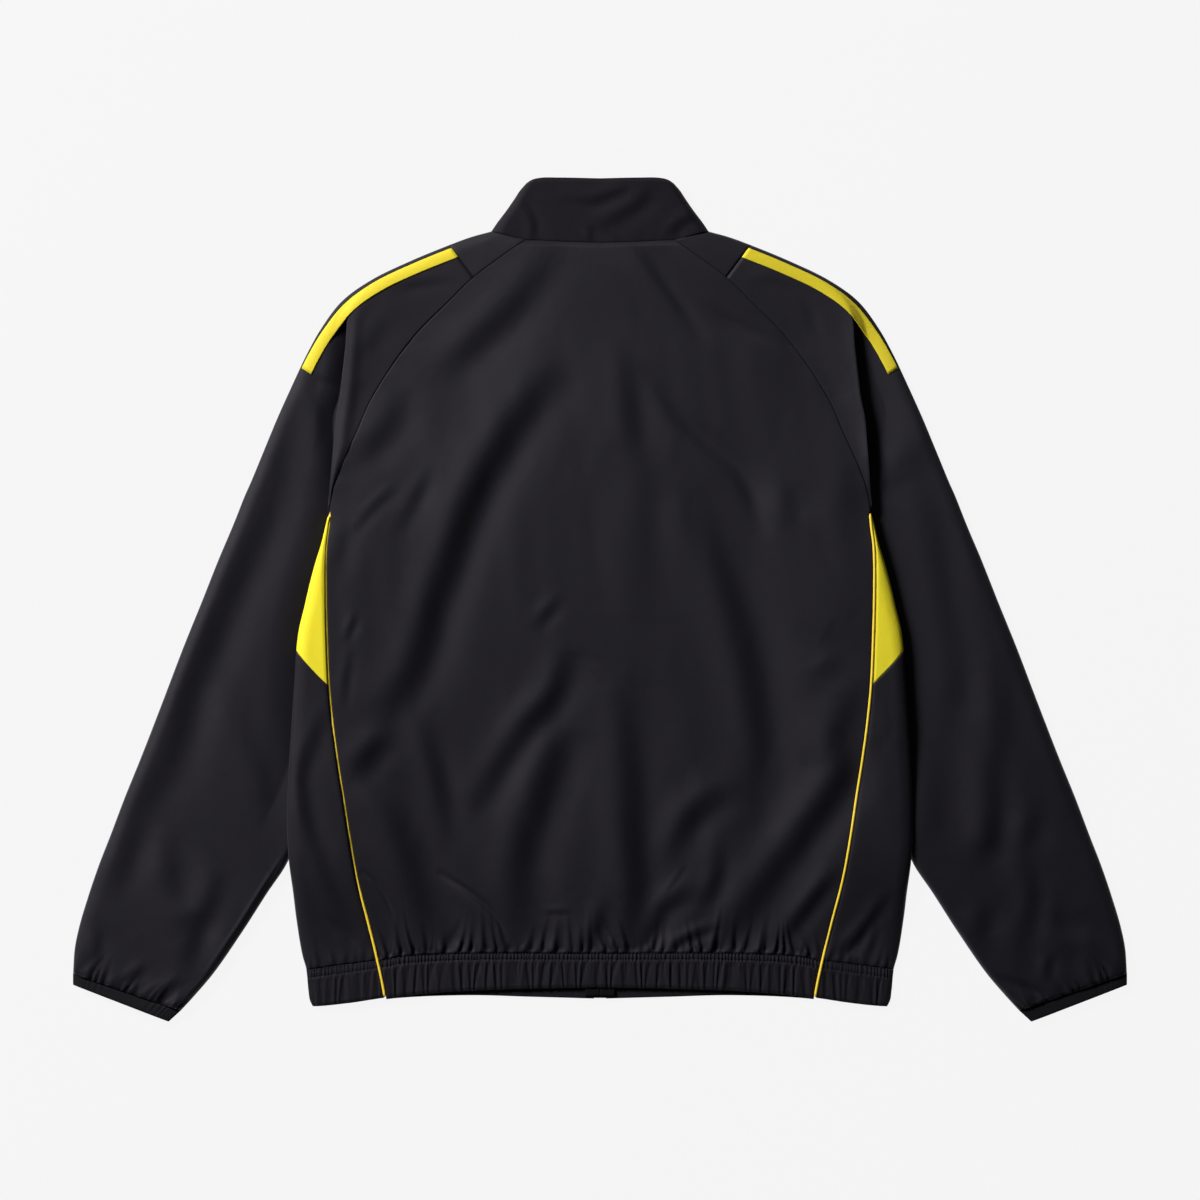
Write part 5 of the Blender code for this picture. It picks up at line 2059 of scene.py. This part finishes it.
@dataclass(frozen=True)
class FabricFinish(TwoToneFinish):
    """Woven cloth: two close tones, threads and a fine crumple in the relief, and a soft sheen."""

    roughness: float = 0.62
    gloss: float = 0.24
    sheen: float = 0.12
    sheen_tint: Colour = (0.78, 0.72, 1.0)
    gloss_tint: Colour = (0.90, 0.88, 1.0)
    pitch: float = 0.00042
    relief: float = 0.00004
    crumple: float = 0.0002

    def make(self, net: Net, shader: bpy.types.Node) -> None:
        """Joins the weave to the shader.

        Args:
            net: The material's net.
            shader: Its shader.
        """
        weave = net.add("ShaderNodeGroup", node_tree=weave_group())
        cloth = net.add("ShaderNodeUVMap", uv_map="cloth").outputs[0]
        net.fill(weave, {"Pitch": self.pitch, "Map": cloth})
        tone, threads = weave.outputs["Tone"], weave.outputs["Height"]
        broad = net.bump(weave.outputs["Crumple"], self.crumple)
        net.fill(shader, {
            "Base Color": net.blend(tone, self.dark, self.light),
            "Roughness": net.sum(tone, self.roughness - 0.05, 0.10),
            "Normal": net.bump(threads, self.relief, broad),
            "Specular IOR Level": self.gloss,
            "Specular Tint": (*self.gloss_tint, 1.0),
            "Sheen Weight": self.sheen,
            "Sheen Roughness": 0.45,
            "Sheen Tint": (*self.sheen_tint, 1.0),
        })


@dataclass(frozen=True)
class CordFinish(TwoToneFinish):
    """Cloth-covered cord: a fine twill that winds round it, and painted shade: a darker, warmer
    tone towards its sides as they turn from the camera.
    """

    def make(self, net: Net, shader: bpy.types.Node) -> None:
        """Joins the twill and the painted side shade to the shader.

        Args:
            net: The material's net.
            shader: Its shader.
        """
        twill = net.bands(net.add("ShaderNodeUVMap", uv_map="cloth").outputs[0], 420.0)
        # Painted shade: the colour runs from the light tone on the cord's face to the dark, warmer
        # tone on its sides as they turn from the camera
        layer = net.add("ShaderNodeLayerWeight")
        net.fill(layer, {"Blend": 0.35})
        net.fill(shader, {
            "Base Color": net.blend(layer.outputs["Facing"], self.light, self.dark),
            "Normal": net.bump(twill, 0.00005),
            "Roughness": net.sum(twill, 0.42, 0.15),
        })


@dataclass(frozen=True)
class ThreadFinish(TwoToneFinish):
    """Twisted sewing thread."""

    def make(self, net: Net, shader: bpy.types.Node) -> None:
        """Joins the twist to the shader.

        Args:
            net: The material's net.
            shader: Its shader.
        """
        twist = net.bands(net.add("ShaderNodeTexCoord").outputs["Object"], 900.0)
        net.fill(shader, {
            "Base Color": net.blend(twist, self.dark, self.light),
            "Normal": net.bump(twist, 0.00003),
            "Roughness": 0.5,
        })


@dataclass(frozen=True)
class HardFinish(Finish):
    """Painted metal or moulded plastic with fine scratches and rubbed patches."""

    colour: Colour
    rubbed: Colour
    metallic: float
    roughness: float

    def make(self, net: Net, shader: bpy.types.Node) -> None:
        """Joins the wear to the shader.

        Args:
            net: The material's net.
            shader: Its shader.
        """
        wear = net.add("ShaderNodeGroup", node_tree=wear_group())
        net.fill(wear, {"Place": net.add("ShaderNodeTexCoord").outputs["Object"]})
        scratches, patches = wear.outputs["Scratches"], wear.outputs["Patches"]
        marks = net.math("MULTIPLY", scratches, patches)
        net.fill(shader, {
            "Base Color": net.blend(marks, self.colour, self.rubbed),
            "Roughness": net.sum(patches, self.roughness - 0.12, 0.25),
            "Normal": net.bump(patches, 0.00002),
            "Metallic": self.metallic,
        })


SHELL = FabricFinish("black shell", (0.0043, 0.0037, 0.0056), (0.0068, 0.0059, 0.0090))
COLLAR = FabricFinish(
    "black collar", (0.0026, 0.0020, 0.0034), (0.0044, 0.0034, 0.0056), 0.66, 0.17, 0.08,
)
HEM = FabricFinish("black hem", (0.0028, 0.0022, 0.0036), (0.0048, 0.0038, 0.0062), 0.66)
CUFF = FabricFinish(
    "black binding", (0.0034, 0.0032, 0.0042), (0.0058, 0.0054, 0.0070), 0.7, 0.18, 0.05,
)
ZIP_TAPE = FabricFinish(
    "black zip tape", (0.0022, 0.0020, 0.0026), (0.0042, 0.0039, 0.0048), 0.75, 0.12, 0.03,
    pitch=0.0006,
)
YELLOW_LOOK = (0.60, 0.25, 0.03, (1.0, 0.95, 0.7), (1.0, 1.0, 0.9))
YELLOW = FabricFinish("yellow cloth", (0.80, 0.67, 0.014), (0.88, 0.77, 0.034), *YELLOW_LOOK)
TAPE = FabricFinish("yellow tape", (0.62, 0.50, 0.012), (0.72, 0.60, 0.030), *YELLOW_LOOK)
# The cord's dark tone is painted shade, laid on its sides as they turn from the camera
YELLOW_CORD = CordFinish("yellow cord", (0.62, 0.28, 0.006), (0.95, 0.70, 0.050))
THREAD = ThreadFinish("black thread", (0.006, 0.006, 0.007), (0.022, 0.022, 0.026))
TEETH = HardFinish(
    "black moulded teeth", (0.012, 0.012, 0.013), (0.05, 0.05, 0.05), 0.0, 0.38,
)
METAL = HardFinish("black metal", (0.016, 0.015, 0.014), (0.055, 0.050, 0.044), 0.8, 0.5)


# ---------------------------------------------------------------- studio


@dataclass
class Studio:
    """The pale floor, the soft light and the camera straight above."""

    frame_width: float = 1.056
    lens: float = 100.0
    sensor: float = 36.0
    key_height: float = 31.0
    key_turn: float = 141.0
    key_power: float = 175.0
    key_size: float = 0.9
    key_away: float = 3.2
    fill: float = 0.045
    floor_glow: float = 0.895
    floor_half: float = 8.0
    floor_depth: float = 0.0004

    def camera(self) -> None:
        """Makes the camera, which looks straight down with the collar towards the top."""
        data = bpy.data.cameras.new("camera")
        data.lens, data.sensor_width = self.lens, self.sensor
        camera = placed("camera", data)
        camera.location = (0.0, 0.0, self.frame_width * self.lens / self.sensor)
        bpy.context.scene.camera = camera

    def light(self) -> None:
        """Makes the soft key light from the upper left and the even fill."""
        data = bpy.data.lights.new("key", "AREA")
        data.energy, data.size, data.color = self.key_power, self.key_size, (1.0, 0.99, 0.97)
        key = placed("key", data)
        turn, rise = math.radians(self.key_turn), math.radians(self.key_height)
        flat = math.cos(rise)
        away = Vector((math.cos(turn) * flat, math.sin(turn) * flat, math.sin(rise)))
        key.location = away * self.key_away
        key.rotation_mode = "QUATERNION"
        key.rotation_quaternion = away.to_track_quat("Z", "Y")
        world = bpy.data.worlds.new("studio")
        world.use_nodes = True
        Net(world.node_tree).fill(
            world.node_tree.nodes["Background"], {"Color": WHITE, "Strength": self.fill},
        )
        bpy.context.scene.world = world
        bpy.context.scene.view_settings.view_transform = "Standard"

    def floor(self) -> None:
        """Makes the plain pale floor."""
        bm = bmesh.new()
        bmesh.ops.create_grid(bm, x_segments=1, y_segments=1, size=self.floor_half)
        bmesh.ops.translate(bm, vec=(0.0, 0.0, -self.floor_depth), verts=bm.verts[:])
        floor = built("floor", bm)
        material = bpy.data.materials.new("floor")
        net, shader = Finish.start(material)
        net.fill(shader, {
            "Base Color": (0.02, 0.02, 0.02, 1.0),
            "Roughness": 0.9,
            "Specular IOR Level": 0.0,
            "Emission Color": WHITE,
            "Emission Strength": self.floor_glow,
        })
        floor.data.materials.append(material)

    def build(self) -> None:
        """Builds the whole studio."""
        self.camera()
        self.light()
        self.floor()
        LOG.info("studio")


def main() -> None:
    """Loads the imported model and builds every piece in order."""
    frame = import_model()
    Studio().build()
    BackPanel(SHELL).build()
    for side in Side:
        FrontPanel(side, SHELL).build()
        SidePanel(side, SHELL, YELLOW).build()
        Sleeve(side, SHELL, TAPE).build()
        Cuff(side, CUFF).build()
        Piping(side, YELLOW_CORD).build()
    Hem(HEM).build()
    Collar(COLLAR).build()
    closure = Zip(ZIP_TAPE, TEETH, METAL)
    closure.build()
    closure.dress_metal(frame["nodes"])
    Stitches(THREAD).build()


if __name__ == "__main__":
    logging.basicConfig(level=logging.INFO, format="%(message)s")
    main()
